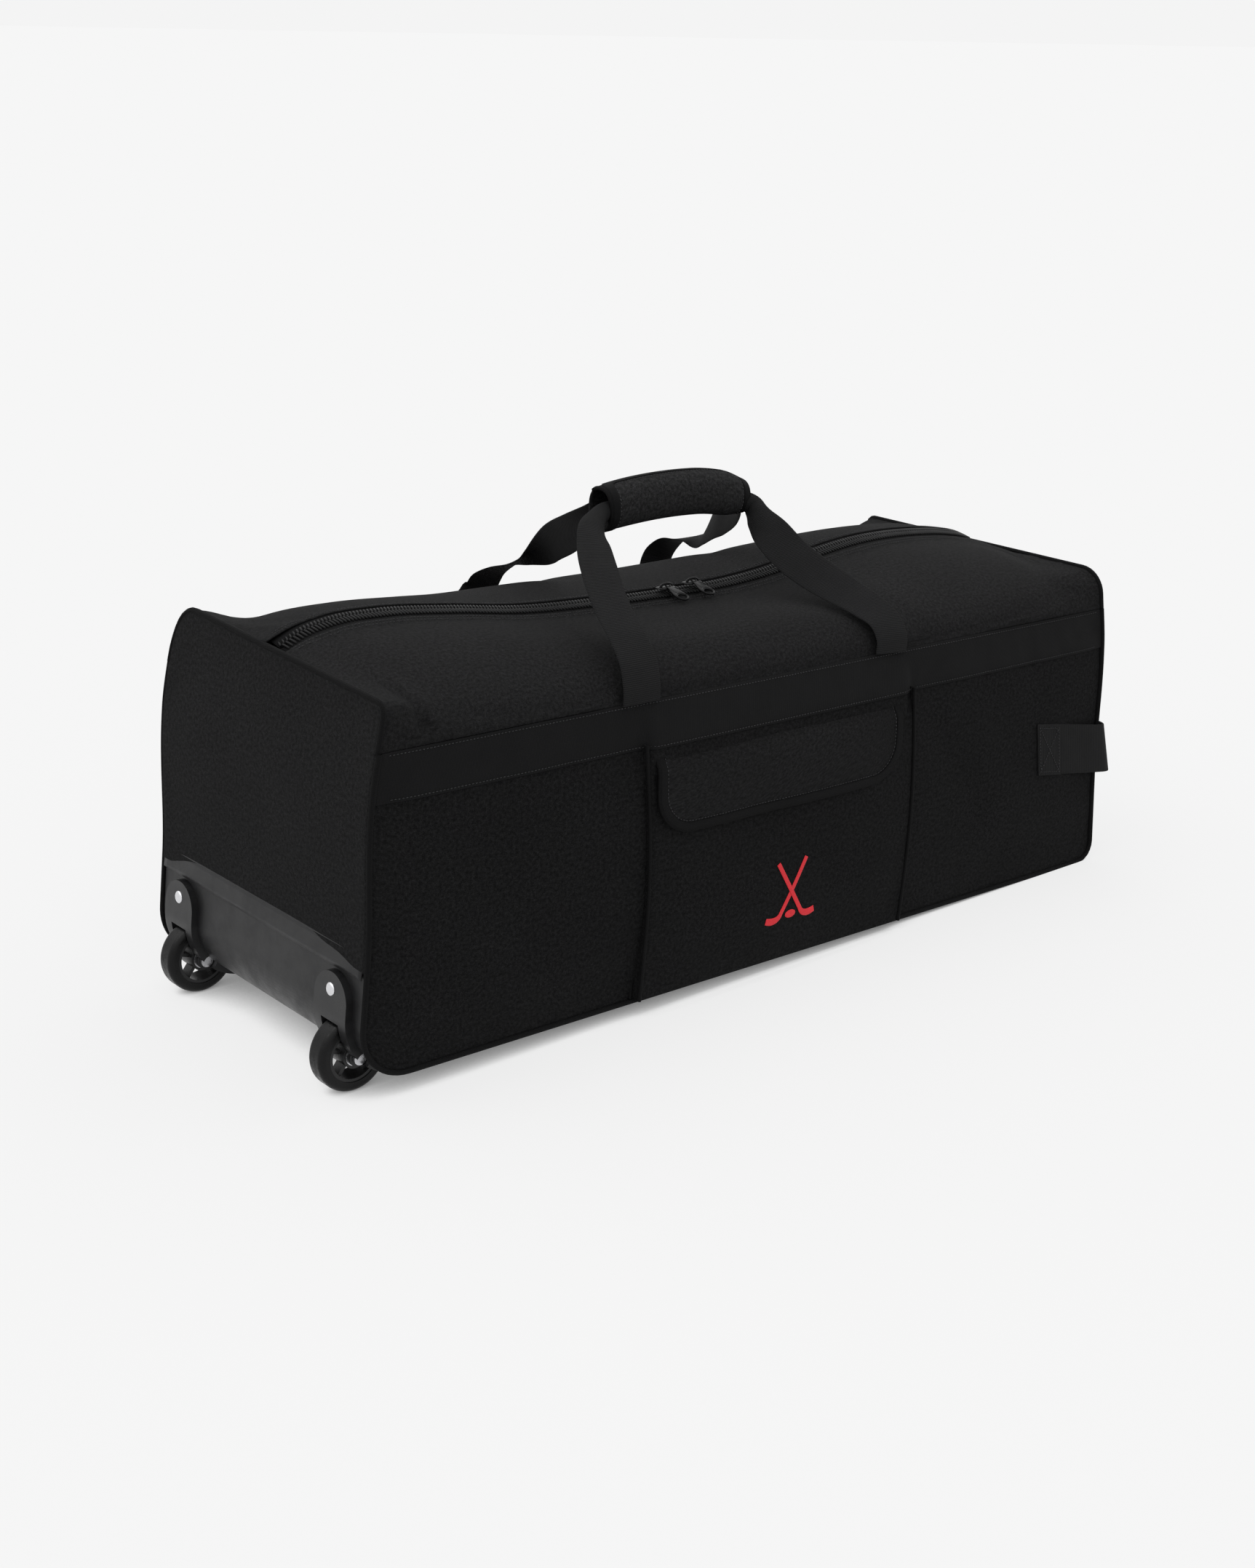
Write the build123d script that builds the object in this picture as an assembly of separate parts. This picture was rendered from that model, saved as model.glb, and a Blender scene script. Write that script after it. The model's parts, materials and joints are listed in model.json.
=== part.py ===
from build123d import *
import math
import os

# Wheeled hockey equipment bag. Lengths are in millimetres.
# Every piece is drawn in the bag's own frame: X along the bag with the wheels at -X, the pocket side at -Y,
# Z up from the underside of the base. The finished bag is then tilted onto its wheels and its far end, and
# its origin is put on the floor under the middle of its overall box.

# The box of the bag
BASE_LENGTH = 1118
TOP_LENGTH = 1050
WIDTH = 400
HEIGHT = 383
WALL = 3
SHOULDER_RADIUS = 35
WHEEL_CORNER = 58
FAR_CORNER = 25
LEAN = (BASE_LENGTH - TOP_LENGTH) / 2 / HEIGHT
HALF_BASE = BASE_LENGTH / 2
HALF_WIDTH = WIDTH / 2

# The top, which opens along a zip on its centre line
FOLD_HEIGHT = 335
TOP_HALF = 517
HUMP = 420
RIDGE_LOW = 385
RIDGE_HIGH = 412
RIDGE_END = 394
RIDGE_DROP = 10
RIDGE_FOOT = 50
STATIONS = (-TOP_HALF, -HUMP, 0, HUMP, TOP_HALF)
SEAM = 0.5
TAPE_WIDTH = 16
TAPE_THICKNESS = 0.8
CHAIN_HALF = 2.6
CHAIN_HEIGHT = 2.5
ZIP_GAP = 0.15

# Webbing, sewn trim and the moulded end
BAND_WIDTH = 50
BAND_THICKNESS = 1.6
PIPING = 5
PIPING_PROUD = 2.5
KICK_HEIGHT = 120
KICK_REACH = -430
FLOOR_BOARD = 3
BOARD_GAP = 8

# Wheels
WHEEL_RADIUS = 40
WHEEL_WIDTH = 26
AXLE_X = -540
AXLE_Z = 14
WHEEL_Y = 152
AXLE_RADIUS = 4
RUNNING_FIT = 0.05
HUB_RADIUS = 29
RIM = 3.5
BOSS_RADIUS = 14
BEARING_RADIUS = 11
BEARING_WIDTH = 7
SPOKES = 5
SPOKE_WIDTH = 4
WELL_RADIUS = 44.5
WELL_WIDTH = 31
MOULD = 3
HOUSING_PROUD = 8
HOUSING_WIDTH = 58
HOUSING_TOP = 104
HOUSING_REACH = -448
LUG_RADIUS = 10
BOLT_HEAD = 7
RIVET_RADIUS = 7
RIVET_Z = 86

# Carry handles and their padded grip
STRAP_WIDTH = 50
STRAP = 1.6
STRAP_FOLDED = 25
STRAP_LEFT = -218
STRAP_RIGHT = 151
LEAD_GAP = 0.3
GRIP_LEFT = -110
GRIP_RIGHT = 98
GRIP_Z = 498
GRIP_DEPTH = 40
GRIP_TALL = 46
GRIP_SPLIT = 8
GRIP_CHANNEL = 17
HANDLE_OFF = 3
CORE_Y = -4.2
SHOULDER_OUT = (SHOULDER_RADIUS + HANDLE_OFF) * math.sqrt(0.5)
PIVOT_Y = -HALF_WIDTH + SHOULDER_RADIUS - SHOULDER_OUT
PIVOT_Z = HEIGHT - SHOULDER_RADIUS + SHOULDER_OUT

# Pocket and flap on the front
POCKET_LEFT = -214
POCKET_RIGHT = 186
POCKET_FOOT = 12
POCKET_MOUTH = 262
POCKET_DEPTH = 14
POCKET_WALL = 2
FLAP_LEFT = -200
FLAP_RIGHT = 162
FLAP_TOP = 284
FLAP_HEIGHT = 94
FLAP_CORNER = 45
FLAP_INNER = 17
FLAP_WALL = 2
BINDING = 9
HOOK_STRIP = 1.2
HOOK_HEIGHTS = (225, 250)
FLAP_ROOT = 2.5
HINGE_Y = -HALF_WIDTH - PIPING_PROUD
POCKET_OUT = -HALF_WIDTH - POCKET_DEPTH
FLAP_OUT = -HALF_WIDTH - FLAP_INNER - FLAP_WALL

# The printed mark: two crossed sticks and a puck
MARK_X = 0
MARK_Z = 86
MARK_SIZE = 74
STICK_LENGTH = 0.95 * MARK_SIZE
STICK_WIDTH = 0.09 * MARK_SIZE
BLADE_LENGTH = 0.3 * MARK_SIZE
STICK_LEAN = 38
PUCK_DROP = 0.3 * MARK_SIZE
PUCK_RADII = (0.13 * MARK_SIZE, 0.075 * MARK_SIZE)

# Haul handle round the far end
HAUL_X = 470
HAUL_Z = 165
HAUL_WIDTH = 68
HAUL_PATCH = 45
HAUL_DROOP = 9
HAUL_THICKNESS = 2
HAUL_LIFT = 2.6
HAUL_BEND = 24
HAUL_SIDE = 35
HAUL_BULGE = 9
HAUL_REACH = 14

# Zip sliders
SLIDERS = {"slider_left": (-10, -1), "slider_right": (30, 1)}
SLIDER_LENGTH = 14
SLIDER_WIDTH = 9
SLIDER_PLATE = 2.2
SLIDER_GAP = 0.35
BAIL_HEIGHT = 4.6
BAIL_RADIUS = 1
PULL_LENGTH = 37
PULL_WIDTH = 9.5
PULL_THICKNESS = 1.8
PULL_DROOP = 17

LEAN_ANGLE = math.degrees(math.atan(LEAN))
RIDGE_SLOPE = math.degrees(math.atan((RIDGE_HIGH - RIDGE_LOW) / HUMP))

parts = {}


def box(x, y, z):
    """A box from its low and high limits along each axis."""
    size = [high - low for low, high in (x, y, z)]
    centre = [(low + high) / 2 for low, high in (x, y, z)]
    return Pos(*centre) * Box(*size)


def side_plate(outline, y_low, y_high):
    """A face drawn in X and Z, given thickness along Y."""
    return Plane.XZ.offset(-y_high) * extrude(outline, y_high - y_low, dir=(0, 0, 1))


def end_plate(outline, x_low, x_high):
    """A face drawn in Y and Z, given thickness along X."""
    return Plane.YZ.offset(x_low) * extrude(outline, x_high - x_low, dir=(0, 0, 1))


def cross_cylinder(radius, x, z, y_low, y_high):
    """A cylinder lying along Y."""
    length = y_high - y_low
    return Pos(x, (y_low + y_high) / 2, z) * Rot(90, 0, 0) * Cylinder(radius, length)


def end_x(z):
    """How far an end stands from the middle of the bag at a height."""
    return HALF_BASE - z * LEAN


def side_outline(inset=0):
    """The bag's outline seen from the side, with its two bottom corners rounded."""
    low = inset
    high = HEIGHT - inset
    ends = inset / math.cos(math.atan(LEAN))
    wheel_foot = Vector(ends - end_x(low), low)
    far_foot = Vector(end_x(low) - ends, low)
    far_head = Vector(end_x(high) - ends, high)
    wheel_head = Vector(ends - end_x(high), high)
    wire = Wire.make_polygon([wheel_foot, far_foot, far_head, wheel_head], close=True)
    corners = wire.vertices().group_by(Axis.Y)[0].sort_by(Axis.X)
    wire = wire.fillet_2d(WHEEL_CORNER - inset, [corners[0]])
    wire = wire.fillet_2d(FAR_CORNER - inset, [corners[1]])
    return Face(wire)


def end_outline(inset=0):
    """The bag's outline seen from the end: straight sides and rounded shoulders."""
    half = HALF_WIDTH - inset
    high = HEIGHT - inset
    corners = [(-half, inset), (half, inset), (half, high), (-half, high)]
    wire = Wire.make_polygon([Vector(*corner) for corner in corners], close=True)
    shoulders = wire.vertices().group_by(Axis.Y)[-1]
    return Face(wire.fillet_2d(SHOULDER_RADIUS - inset, list(shoulders)))


def solid_bag(inset=0):
    length = side_plate(side_outline(inset), inset - HALF_WIDTH, HALF_WIDTH - inset)
    return length & end_plate(end_outline(inset), -HALF_BASE, HALF_BASE)


def wheel_well(grow, y_middle):
    """The round space about one wheel, or the shell about it."""
    half = WELL_WIDTH / 2 + grow
    return cross_cylinder(WELL_RADIUS + grow, AXLE_X, AXLE_Z, y_middle - half, y_middle + half)


def bolt_room(y_middle):
    """The recesses that the two ends of an axle sit in."""
    inner = WELL_WIDTH / 2 + MOULD
    outer = HOUSING_WIDTH / 2
    radius = BOLT_HEAD + 1
    near = cross_cylinder(radius, AXLE_X, AXLE_Z, y_middle + inner, y_middle + outer)
    return near + cross_cylinder(radius, AXLE_X, AXLE_Z, y_middle - outer, y_middle - inner)


# Walls, base and moulded kick panel
OUTER = solid_bag()
INNER = solid_bag(WALL)
SHELL = OUTER - INNER
INSIDE_Y = (WALL - HALF_WIDTH, HALF_WIDTH - WALL)
WELLS = [wheel_well(MOULD, y_middle) + bolt_room(y_middle) for y_middle in (-WHEEL_Y, WHEEL_Y)]
FAR_FLAT = HALF_BASE - FAR_CORNER


def walls():
    below_fold = (0, FOLD_HEIGHT)
    whole_length = (-HALF_BASE, HALF_BASE)
    whole_width = (-HALF_WIDTH, HALF_WIDTH)
    parts["front_panel"] = SHELL & box(whole_length, (-HALF_WIDTH, INSIDE_Y[0]), below_fold)
    parts["rear_panel"] = SHELL & box(whole_length, (INSIDE_Y[1], HALF_WIDTH), below_fold)
    middle = SHELL - parts["front_panel"] - parts["rear_panel"]
    kick = middle & box((-HALF_BASE, KICK_REACH), whole_width, (0, KICK_HEIGHT))
    for well in WELLS:
        kick -= well
    parts["kick_panel"] = kick
    parts["wheel_end_panel"] = middle & box((-HALF_BASE, -TOP_HALF), whole_width, (KICK_HEIGHT, HEIGHT))
    parts["base_panel"] = middle & box((KICK_REACH, FAR_FLAT), whole_width, (0, WALL))
    far_end = middle & box((TOP_HALF, HALF_BASE), whole_width, (0, HEIGHT))
    parts["far_end_panel"] = far_end - parts["base_panel"]
    board_width = (-HALF_WIDTH + BOARD_GAP, HALF_WIDTH - BOARD_GAP)
    board = box((KICK_REACH, FAR_FLAT - BOARD_GAP), board_width, (0, FLOOR_BOARD))
    parts["base_board"] = Pos(0, 0, WALL) * board


# Seam piping and the webbing band

def piping():
    """Cord sewn into the seams: round each side face, and over the top edge of each end."""
    ring = side_outline() - side_outline(PIPING)
    rings = {"piping_front": -HALF_WIDTH - PIPING_PROUD, "piping_rear": HALF_WIDTH}
    for name, y_low in rings.items():
        cord = side_plate(ring, y_low, y_low + PIPING_PROUD)
        parts[name] = cord & box((-HALF_BASE, HALF_BASE), (y_low, y_low + PIPING_PROUD), (0, FOLD_HEIGHT))
    arch = end_outline() - end_outline(PIPING)
    rim = end_plate(arch, -PIPING_PROUD, 0) & box((-PIPING_PROUD, 0), (-WIDTH, WIDTH), (FOLD_HEIGHT, HEIGHT))
    lean = Pos(0, 0, HEIGHT) * Rot(0, LEAN_ANGLE, 0) * Pos(0, 0, -HEIGHT)
    parts["piping_wheel_end"] = Pos(-TOP_LENGTH / 2 - SEAM, 0, 0) * lean * rim
    parts["piping_far_end"] = mirror(parts["piping_wheel_end"], Plane.YZ)


def bands():
    """The flat webbing sewn along each side just under the fold, ending at the piping."""
    foot = FOLD_HEIGHT - BAND_WIDTH
    corners = []
    for side in (-1, 1):
        for z in (foot, FOLD_HEIGHT)[::side]:
            corners.append(Vector(side * (end_x(z) - PIPING - SEAM), z))
    strip = Face(Wire.make_polygon(corners, close=True))
    parts["band_front"] = side_plate(strip, -HALF_WIDTH - BAND_THICKNESS, -HALF_WIDTH)
    parts["band_rear"] = side_plate(strip, HALF_WIDTH, HALF_WIDTH + BAND_THICKNESS)


# Wheels, their housings and axles

def raised_corner():
    """Room for the mouldings that stand proud of the corner of the bag."""
    proud = side_plate(offset(side_outline(), HOUSING_PROUD, kind=Kind.ARC), 0, HOUSING_WIDTH)
    return Pos(0, -HOUSING_WIDTH / 2, 0) * (proud - side_plate(side_outline(), 0, HOUSING_WIDTH))


def housing(y_middle):
    """A tongue that wraps the corner, the well behind the wheel, and two lugs for the axle."""
    radius = HOUSING_WIDTH / 2
    reach = (-HALF_BASE - 2 * HOUSING_PROUD, HOUSING_REACH)
    width = (-radius, radius)
    foot = box(reach, width, (-2 * HOUSING_PROUD, HOUSING_TOP - radius))
    crown = Plane.YZ.offset(reach[0]) * Pos(0, HOUSING_TOP - radius, 0) * Cylinder(
        radius, HOUSING_WIDTH, align=(Align.CENTER, Align.CENTER, Align.MIN)
    )
    tongue = Pos(0, y_middle, 0) * (raised_corner() & (foot + crown))
    lug_half = WELL_WIDTH / 2 + MOULD
    lug = cross_cylinder(LUG_RADIUS, AXLE_X, AXLE_Z, y_middle - lug_half, y_middle + lug_half)
    cup = wheel_well(MOULD, y_middle) & OUTER
    body = tongue + cup + lug - wheel_well(0, y_middle)
    bore = cross_cylinder(AXLE_RADIUS + RUNNING_FIT, AXLE_X, AXLE_Z, y_middle - radius, y_middle + radius)
    return body - bore - bolt_room(y_middle)


def axle(y_middle):
    """A bolt through both lugs, with a round head at each end."""
    half = WELL_WIDTH / 2 + MOULD + SEAM
    shaft = cross_cylinder(AXLE_RADIUS, AXLE_X, AXLE_Z, y_middle - half, y_middle + half)
    heads = [
        cross_cylinder(BOLT_HEAD, AXLE_X, AXLE_Z, y_middle + start, y_middle + start + BOLT_HEAD / 2)
        for start in (half, -half - BOLT_HEAD / 2)
    ]
    return shaft + heads


def tyre(y_middle):
    half = WHEEL_WIDTH / 2
    ring = Cylinder(WHEEL_RADIUS, WHEEL_WIDTH) - Cylinder(HUB_RADIUS, WHEEL_WIDTH)
    edges = ring.edges().filter_by(GeomType.CIRCLE).group_by(SortBy.RADIUS)[-1]
    ring = fillet(edges, half / 2)
    return Pos(AXLE_X, y_middle, AXLE_Z) * Rot(90, 0, 0) * ring


def hub(y_middle):
    """A rim, a boss bored for the bearings, and the spokes between them."""
    rim = Cylinder(HUB_RADIUS, WHEEL_WIDTH - 2) - Cylinder(HUB_RADIUS - RIM, WHEEL_WIDTH)
    spoke_length = HUB_RADIUS - RIM / 2
    spoke = Pos(spoke_length / 2, 0, 0) * Box(spoke_length, SPOKE_WIDTH, WHEEL_WIDTH / 2)
    wheel = rim + Cylinder(BOSS_RADIUS, WHEEL_WIDTH)
    for turn in range(SPOKES):
        wheel += Rot(0, 0, turn * 360 / SPOKES + 90) * spoke
    wheel -= Cylinder(BEARING_RADIUS, 2 * WHEEL_WIDTH)
    spacer = WHEEL_WIDTH - 2 * BEARING_WIDTH
    wheel += Cylinder(BEARING_RADIUS, spacer) - Cylinder(AXLE_RADIUS + 2, spacer)
    return Pos(AXLE_X, y_middle, AXLE_Z) * Rot(90, 0, 0) * wheel


def bearings(y_middle):
    """A ball bearing in each face of the hub, as a plain ring."""
    ring = Cylinder(BEARING_RADIUS, BEARING_WIDTH) - Cylinder(AXLE_RADIUS + RUNNING_FIT, BEARING_WIDTH)
    start = (WHEEL_WIDTH - BEARING_WIDTH) / 2
    pair = [Pos(AXLE_X, y_middle + side * start, AXLE_Z) * Rot(90, 0, 0) * ring for side in (-1, 1)]
    return Compound(children=pair)


def running_gear():
    rivets = []
    for name, side in (("front", -1), ("rear", 1)):
        y_middle = side * WHEEL_Y
        parts[f"wheel_housing_{name}"] = housing(y_middle)
        parts[f"axle_{name}"] = axle(y_middle)
        parts[f"tyre_{name}"] = tyre(y_middle)
        parts[f"hub_{name}"] = hub(y_middle)
        parts[f"bearings_{name}"] = bearings(y_middle)
        dome = Sphere(RIVET_RADIUS) & box((-RIVET_RADIUS, 0), (-WIDTH, WIDTH), (-HEIGHT, HEIGHT))
        squat = scale(dome, by=(0.4, 1, 1))
        seat = -end_x(RIVET_Z) - HOUSING_PROUD / math.cos(math.radians(LEAN_ANGLE))
        rivets.append(Pos(seat, y_middle, RIVET_Z) * Rot(0, LEAN_ANGLE, 0) * squat)
    parts["housing_rivets"] = Compound(children=rivets)


# The two halves of the top

def ridge(x):
    """Height of the zip line: low in the middle, high at the two humps, lower again at the ends."""
    reach = abs(x)
    if reach <= HUMP:
        return RIDGE_LOW + (RIDGE_HIGH - RIDGE_LOW) * reach / HUMP
    return RIDGE_HIGH - (RIDGE_HIGH - RIDGE_END) * (reach - HUMP) / (TOP_HALF - HUMP)


def slope_z(x, y):
    """Height of the cloth beside the zip."""
    return ridge(x) - RIDGE_DROP * abs(y) / RIDGE_FOOT


def cloth_section(x):
    """The front half of the top cut across: up from the fold, over the shoulder and on to the zip."""
    steps = 4
    turn = [math.pi - math.pi / 2 * step / steps for step in range(steps + 1)]
    centre_y = -HALF_WIDTH + SHOULDER_RADIUS
    centre_z = HEIGHT - SHOULDER_RADIUS
    edge = -TAPE_WIDTH / 2

    def line(inset):
        radius = SHOULDER_RADIUS - inset
        arc = [(centre_y + radius * math.cos(a), centre_z + radius * math.sin(a)) for a in turn]
        foot = (-RIDGE_FOOT, slope_z(x, -RIDGE_FOOT) - inset)
        return [(inset - HALF_WIDTH, FOLD_HEIGHT), *arc, foot, (edge, slope_z(x, edge) - inset)]

    return line(0) + line(WALL)[::-1]


def tape_section(x):
    inner = -CHAIN_HALF - ZIP_GAP
    low = 0.05
    high = low + TAPE_THICKNESS
    corners = [(-TAPE_WIDTH, low), (inner, low), (inner, high), (-TAPE_WIDTH, high)]
    return [(y, slope_z(x, y) + rise) for y, rise in corners]


def chain_section(x):
    outer = -CHAIN_HALF - ZIP_GAP
    half = CHAIN_HEIGHT / 2
    corners = [(outer, -half), (-ZIP_GAP, -half), (-ZIP_GAP, half), (outer, half)]
    return [(y, ridge(x) + rise) for y, rise in corners]


def cut_across(section, x):
    return Face(Wire.make_polygon([Vector(x, y, z) for y, z in section(x)], close=True))


def along_top(section, stations=STATIONS):
    """A solid that runs the length of the top and follows the rise and fall of the zip line."""
    return loft([cut_across(section, x) for x in stations], ruled=True)


def top_cloth():
    """The cloth of one half, as a run of spans between the rises and falls of the zip line."""
    spans = [along_top(cloth_section, ends) for ends in zip(STATIONS, STATIONS[1:])]
    return Compound(children=spans)


def strap_places():
    """Where each handle strap is sewn on, as limits along the bag."""
    return [(middle - STRAP_WIDTH / 2, middle + STRAP_WIDTH / 2) for middle in (STRAP_LEFT, STRAP_RIGHT)]


def strap_leads():
    """The first stretch of each strap, which lies over the shoulder up to where the handle swings."""
    ring = end_outline(-LEAD_GAP - STRAP) - end_outline(-LEAD_GAP)
    head = PIVOT_Z - 2 * HANDLE_OFF
    leads = []
    for place in strap_places():
        over = end_plate(ring, *place)
        leads.append(over & box(place, (-WIDTH, 0), (FOLD_HEIGHT + SEAM, head)))
    return Compound(children=leads)


def strap_tails():
    """The hidden ends of the straps, sewn inside the wall behind the band."""
    inner = INSIDE_Y[0]
    tails = []
    for place in strap_places():
        heights = (FOLD_HEIGHT - BAND_WIDTH, FOLD_HEIGHT - SEAM)
        tails.append(box(place, (inner, inner + STRAP), heights))
        tails.append(box(place, (-inner - STRAP, -inner), heights))
    return Compound(children=tails)


def top():
    front = {
        "top_front_panel": top_cloth(),
        "zip_tape_front": along_top(tape_section),
        "zip_chain_front": along_top(chain_section),
        "strap_leads_front": strap_leads(),
    }
    for name, shape in front.items():
        parts[name] = shape
        parts[name.replace("front", "rear")] = mirror(shape, Plane.XZ)
    parts["strap_tails"] = strap_tails()
    tab = box((TOP_HALF + SEAM, TOP_LENGTH / 2), (-TAPE_WIDTH, TAPE_WIDTH), (HEIGHT, HEIGHT + STRAP))
    parts["zip_end_tabs"] = Compound(children=[tab, mirror(tab, Plane.YZ)])


# Carry handles, which swing apart from where the straps leave the shoulder

def handle_strap():
    """Two legs that narrow towards the grip, and the folded webbing that runs through it."""
    rise = GRIP_Z - PIVOT_Z
    run = CORE_Y - PIVOT_Y
    length = math.hypot(rise, run)
    slant = Plane(origin=(0, PIVOT_Y, PIVOT_Z), x_dir=(1, 0, 0), z_dir=(0, -rise, run))
    narrow = STRAP_FOLDED
    tops = [(GRIP_LEFT - 2 - narrow, GRIP_LEFT - 2), (GRIP_RIGHT + 2, GRIP_RIGHT + 2 + narrow)]
    core = box((tops[0][0], tops[1][1]), (CORE_Y - STRAP / 2, CORE_Y + STRAP / 2),
               (GRIP_Z - STRAP_FOLDED / 2, GRIP_Z + STRAP_FOLDED / 2))
    strap = core
    for (left, right), (top_left, top_right) in zip(strap_places(), tops):
        corners = [(left, 0), (right, 0), (top_right, length), (top_left, length)]
        leg = Face(Wire.make_polygon([Vector(*corner) for corner in corners], close=True))
        strap += slant * Pos(0, 0, -STRAP / 2) * extrude(leg, STRAP, dir=(0, 0, 1))
    return strap


def grip_halves():
    """The padded wrap: the main part sewn to the front strap, and a back cap sewn to the rear one."""
    outline = Pos(0, GRIP_Z) * RectangleRounded(GRIP_DEPTH, GRIP_TALL, GRIP_DEPTH / 3)
    length = (GRIP_LEFT, GRIP_RIGHT)
    whole = end_plate(outline, *length)
    tall = (GRIP_Z - GRIP_TALL, GRIP_Z + GRIP_TALL)
    channel = box(length, (-GRIP_CHANNEL / 2, GRIP_DEPTH), (GRIP_Z - GRIP_CHANNEL, GRIP_Z + GRIP_CHANNEL))
    main = (whole & box(length, (-GRIP_DEPTH, GRIP_SPLIT), tall)) - channel
    cap = whole & box(length, (GRIP_SPLIT + LEAD_GAP, GRIP_DEPTH), tall)
    tongue_y = (STRAP / 2 - CORE_Y, GRIP_SPLIT + LEAD_GAP)
    tongue = box(length, tongue_y, (GRIP_Z - STRAP_FOLDED / 2, GRIP_Z + STRAP_FOLDED / 2))
    return main, cap + tongue


def handles():
    parts["handle_strap_front"] = handle_strap()
    parts["handle_strap_rear"] = mirror(parts["handle_strap_front"], Plane.XZ)
    parts["grip_pad"], parts["grip_cap"] = grip_halves()


# Zip sliders and their pulls

def on_ridge(x, side):
    """The frame of a slider: on top of the chain, with X along the zip line."""
    return Pos(x, 0, ridge(x) + CHAIN_HEIGHT / 2) * Rot(0, -side * RIDGE_SLOPE, 0)


def slider():
    base = SLIDER_GAP + SLIDER_PLATE
    half = SLIDER_LENGTH / 2
    plate = box((-half, half), (-SLIDER_WIDTH / 2, SLIDER_WIDTH / 2), (SLIDER_GAP, base))
    plate = fillet(plate.edges().filter_by(Axis.Z), SLIDER_WIDTH / 4)
    bail = base + BAIL_HEIGHT - BAIL_RADIUS
    bar = Pos(0, 0, bail) * Rot(0, 90, 0) * Cylinder(BAIL_RADIUS, SLIDER_LENGTH * 0.7)
    post_x = (SLIDER_LENGTH * 0.27, SLIDER_LENGTH * 0.35)
    post = box(post_x, (-BAIL_RADIUS, BAIL_RADIUS), (base, bail))
    return plate + bar + post + mirror(post, Plane.YZ)


def pull():
    """A ring round the slider's bail and a flat tab with a long hole, drooping towards the front."""
    bail = SLIDER_GAP + SLIDER_PLATE + BAIL_HEIGHT - BAIL_RADIUS
    ring_radius = 3 * BAIL_RADIUS
    ring = Rot(0, 90, 0) * (Cylinder(ring_radius, 3) - Cylinder(1.5 * BAIL_RADIUS, 3))
    neck = box((-1.5, 1.5), (-2.4 * ring_radius, -ring_radius * 0.8), (-PULL_THICKNESS / 2, PULL_THICKNESS / 2))
    tab_length = PULL_LENGTH - 2 * ring_radius
    tab = extrude(RectangleRounded(PULL_WIDTH, tab_length, PULL_WIDTH / 2.2), PULL_THICKNESS / 2, both=True)
    hole = extrude(SlotOverall(tab_length / 3, PULL_WIDTH / 2), PULL_THICKNESS, both=True)
    tab -= Pos(0, -tab_length / 4, 0) * Rot(0, 0, 90) * hole
    tab = Pos(0, -2 * ring_radius - tab_length / 2, 0) * tab
    return Pos(0, 0, bail) * Rot(PULL_DROOP, 0, 0) * (ring + neck + tab)


def zip_hardware():
    for name, (x, side) in SLIDERS.items():
        parts[name] = on_ridge(x, side) * slider()
        parts[name.replace("slider", "pull")] = on_ridge(x, side) * pull()


# Front pocket, its flap and the mark on it

def pocket():
    wall = POCKET_WALL
    width = (POCKET_LEFT, POCKET_RIGHT)
    heights = (POCKET_FOOT, POCKET_MOUTH)
    depth = (POCKET_OUT + wall, -HALF_WIDTH)
    parts["pocket_panel"] = box(width, (POCKET_OUT, POCKET_OUT + wall), heights)
    sides = [(POCKET_LEFT, POCKET_LEFT + wall), (POCKET_RIGHT - wall, POCKET_RIGHT)]
    gussets = [box(side, depth, heights) for side in sides]
    inside = (POCKET_LEFT + wall, POCKET_RIGHT - wall)
    gussets.append(box(inside, depth, (POCKET_FOOT, POCKET_FOOT + wall)))
    parts["pocket_gussets"] = Compound(children=gussets)
    strip = box((FLAP_LEFT / 2, FLAP_RIGHT / 2), (POCKET_OUT - HOOK_STRIP, POCKET_OUT), HOOK_HEIGHTS)
    parts["pocket_hook_strip"] = strip


def flap():
    """A flap under the band with round lower corners, bound along its free edge."""
    width = FLAP_RIGHT - FLAP_LEFT
    middle = (FLAP_LEFT + FLAP_RIGHT) / 2
    sheet = Pos(middle, FLAP_TOP - FLAP_HEIGHT / 2) * Rectangle(width, FLAP_HEIGHT)
    lower = sheet.vertices().group_by(Axis.Y)[0]
    sheet = fillet(lower, FLAP_CORNER)
    face = side_plate(sheet, FLAP_OUT, FLAP_OUT + FLAP_WALL)
    root = box((FLAP_LEFT, FLAP_RIGHT), (FLAP_OUT + FLAP_WALL, HINGE_Y - 1), (FLAP_TOP - FLAP_ROOT, FLAP_TOP))
    parts["flap_panel"] = face + root
    inside = offset(sheet, -BINDING, kind=Kind.ARC)
    above = Pos(middle, FLAP_TOP - BINDING) * Rectangle(width - 2 * BINDING, 2 * BINDING)
    parts["flap_binding"] = side_plate(sheet - inside - above, FLAP_OUT - TAPE_THICKNESS, FLAP_OUT)
    inner = FLAP_OUT + FLAP_WALL
    strip = box((FLAP_LEFT / 2, FLAP_RIGHT / 2), (inner, inner + HOOK_STRIP), HOOK_HEIGHTS)
    parts["flap_loop_strip"] = strip


def mark():
    """A plain sign: two crossed sticks with a puck below them."""
    blade = Rectangle(BLADE_LENGTH, STICK_WIDTH)
    blade = Pos((BLADE_LENGTH - STICK_WIDTH) / 2, (STICK_WIDTH - STICK_LENGTH) / 2) * blade
    stick = Rectangle(STICK_WIDTH, STICK_LENGTH) + blade
    crossed = Rot(0, 0, STICK_LEAN) * stick + Rot(0, 0, -STICK_LEAN) * mirror(stick, Plane.YZ)
    sign = Pos(MARK_X, MARK_Z) * (crossed + Pos(0, -PUCK_DROP) * Ellipse(*PUCK_RADII))
    parts["pocket_mark"] = side_plate(sign, POCKET_OUT - TAPE_THICKNESS, POCKET_OUT)


# Haul handle round the far end

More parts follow.
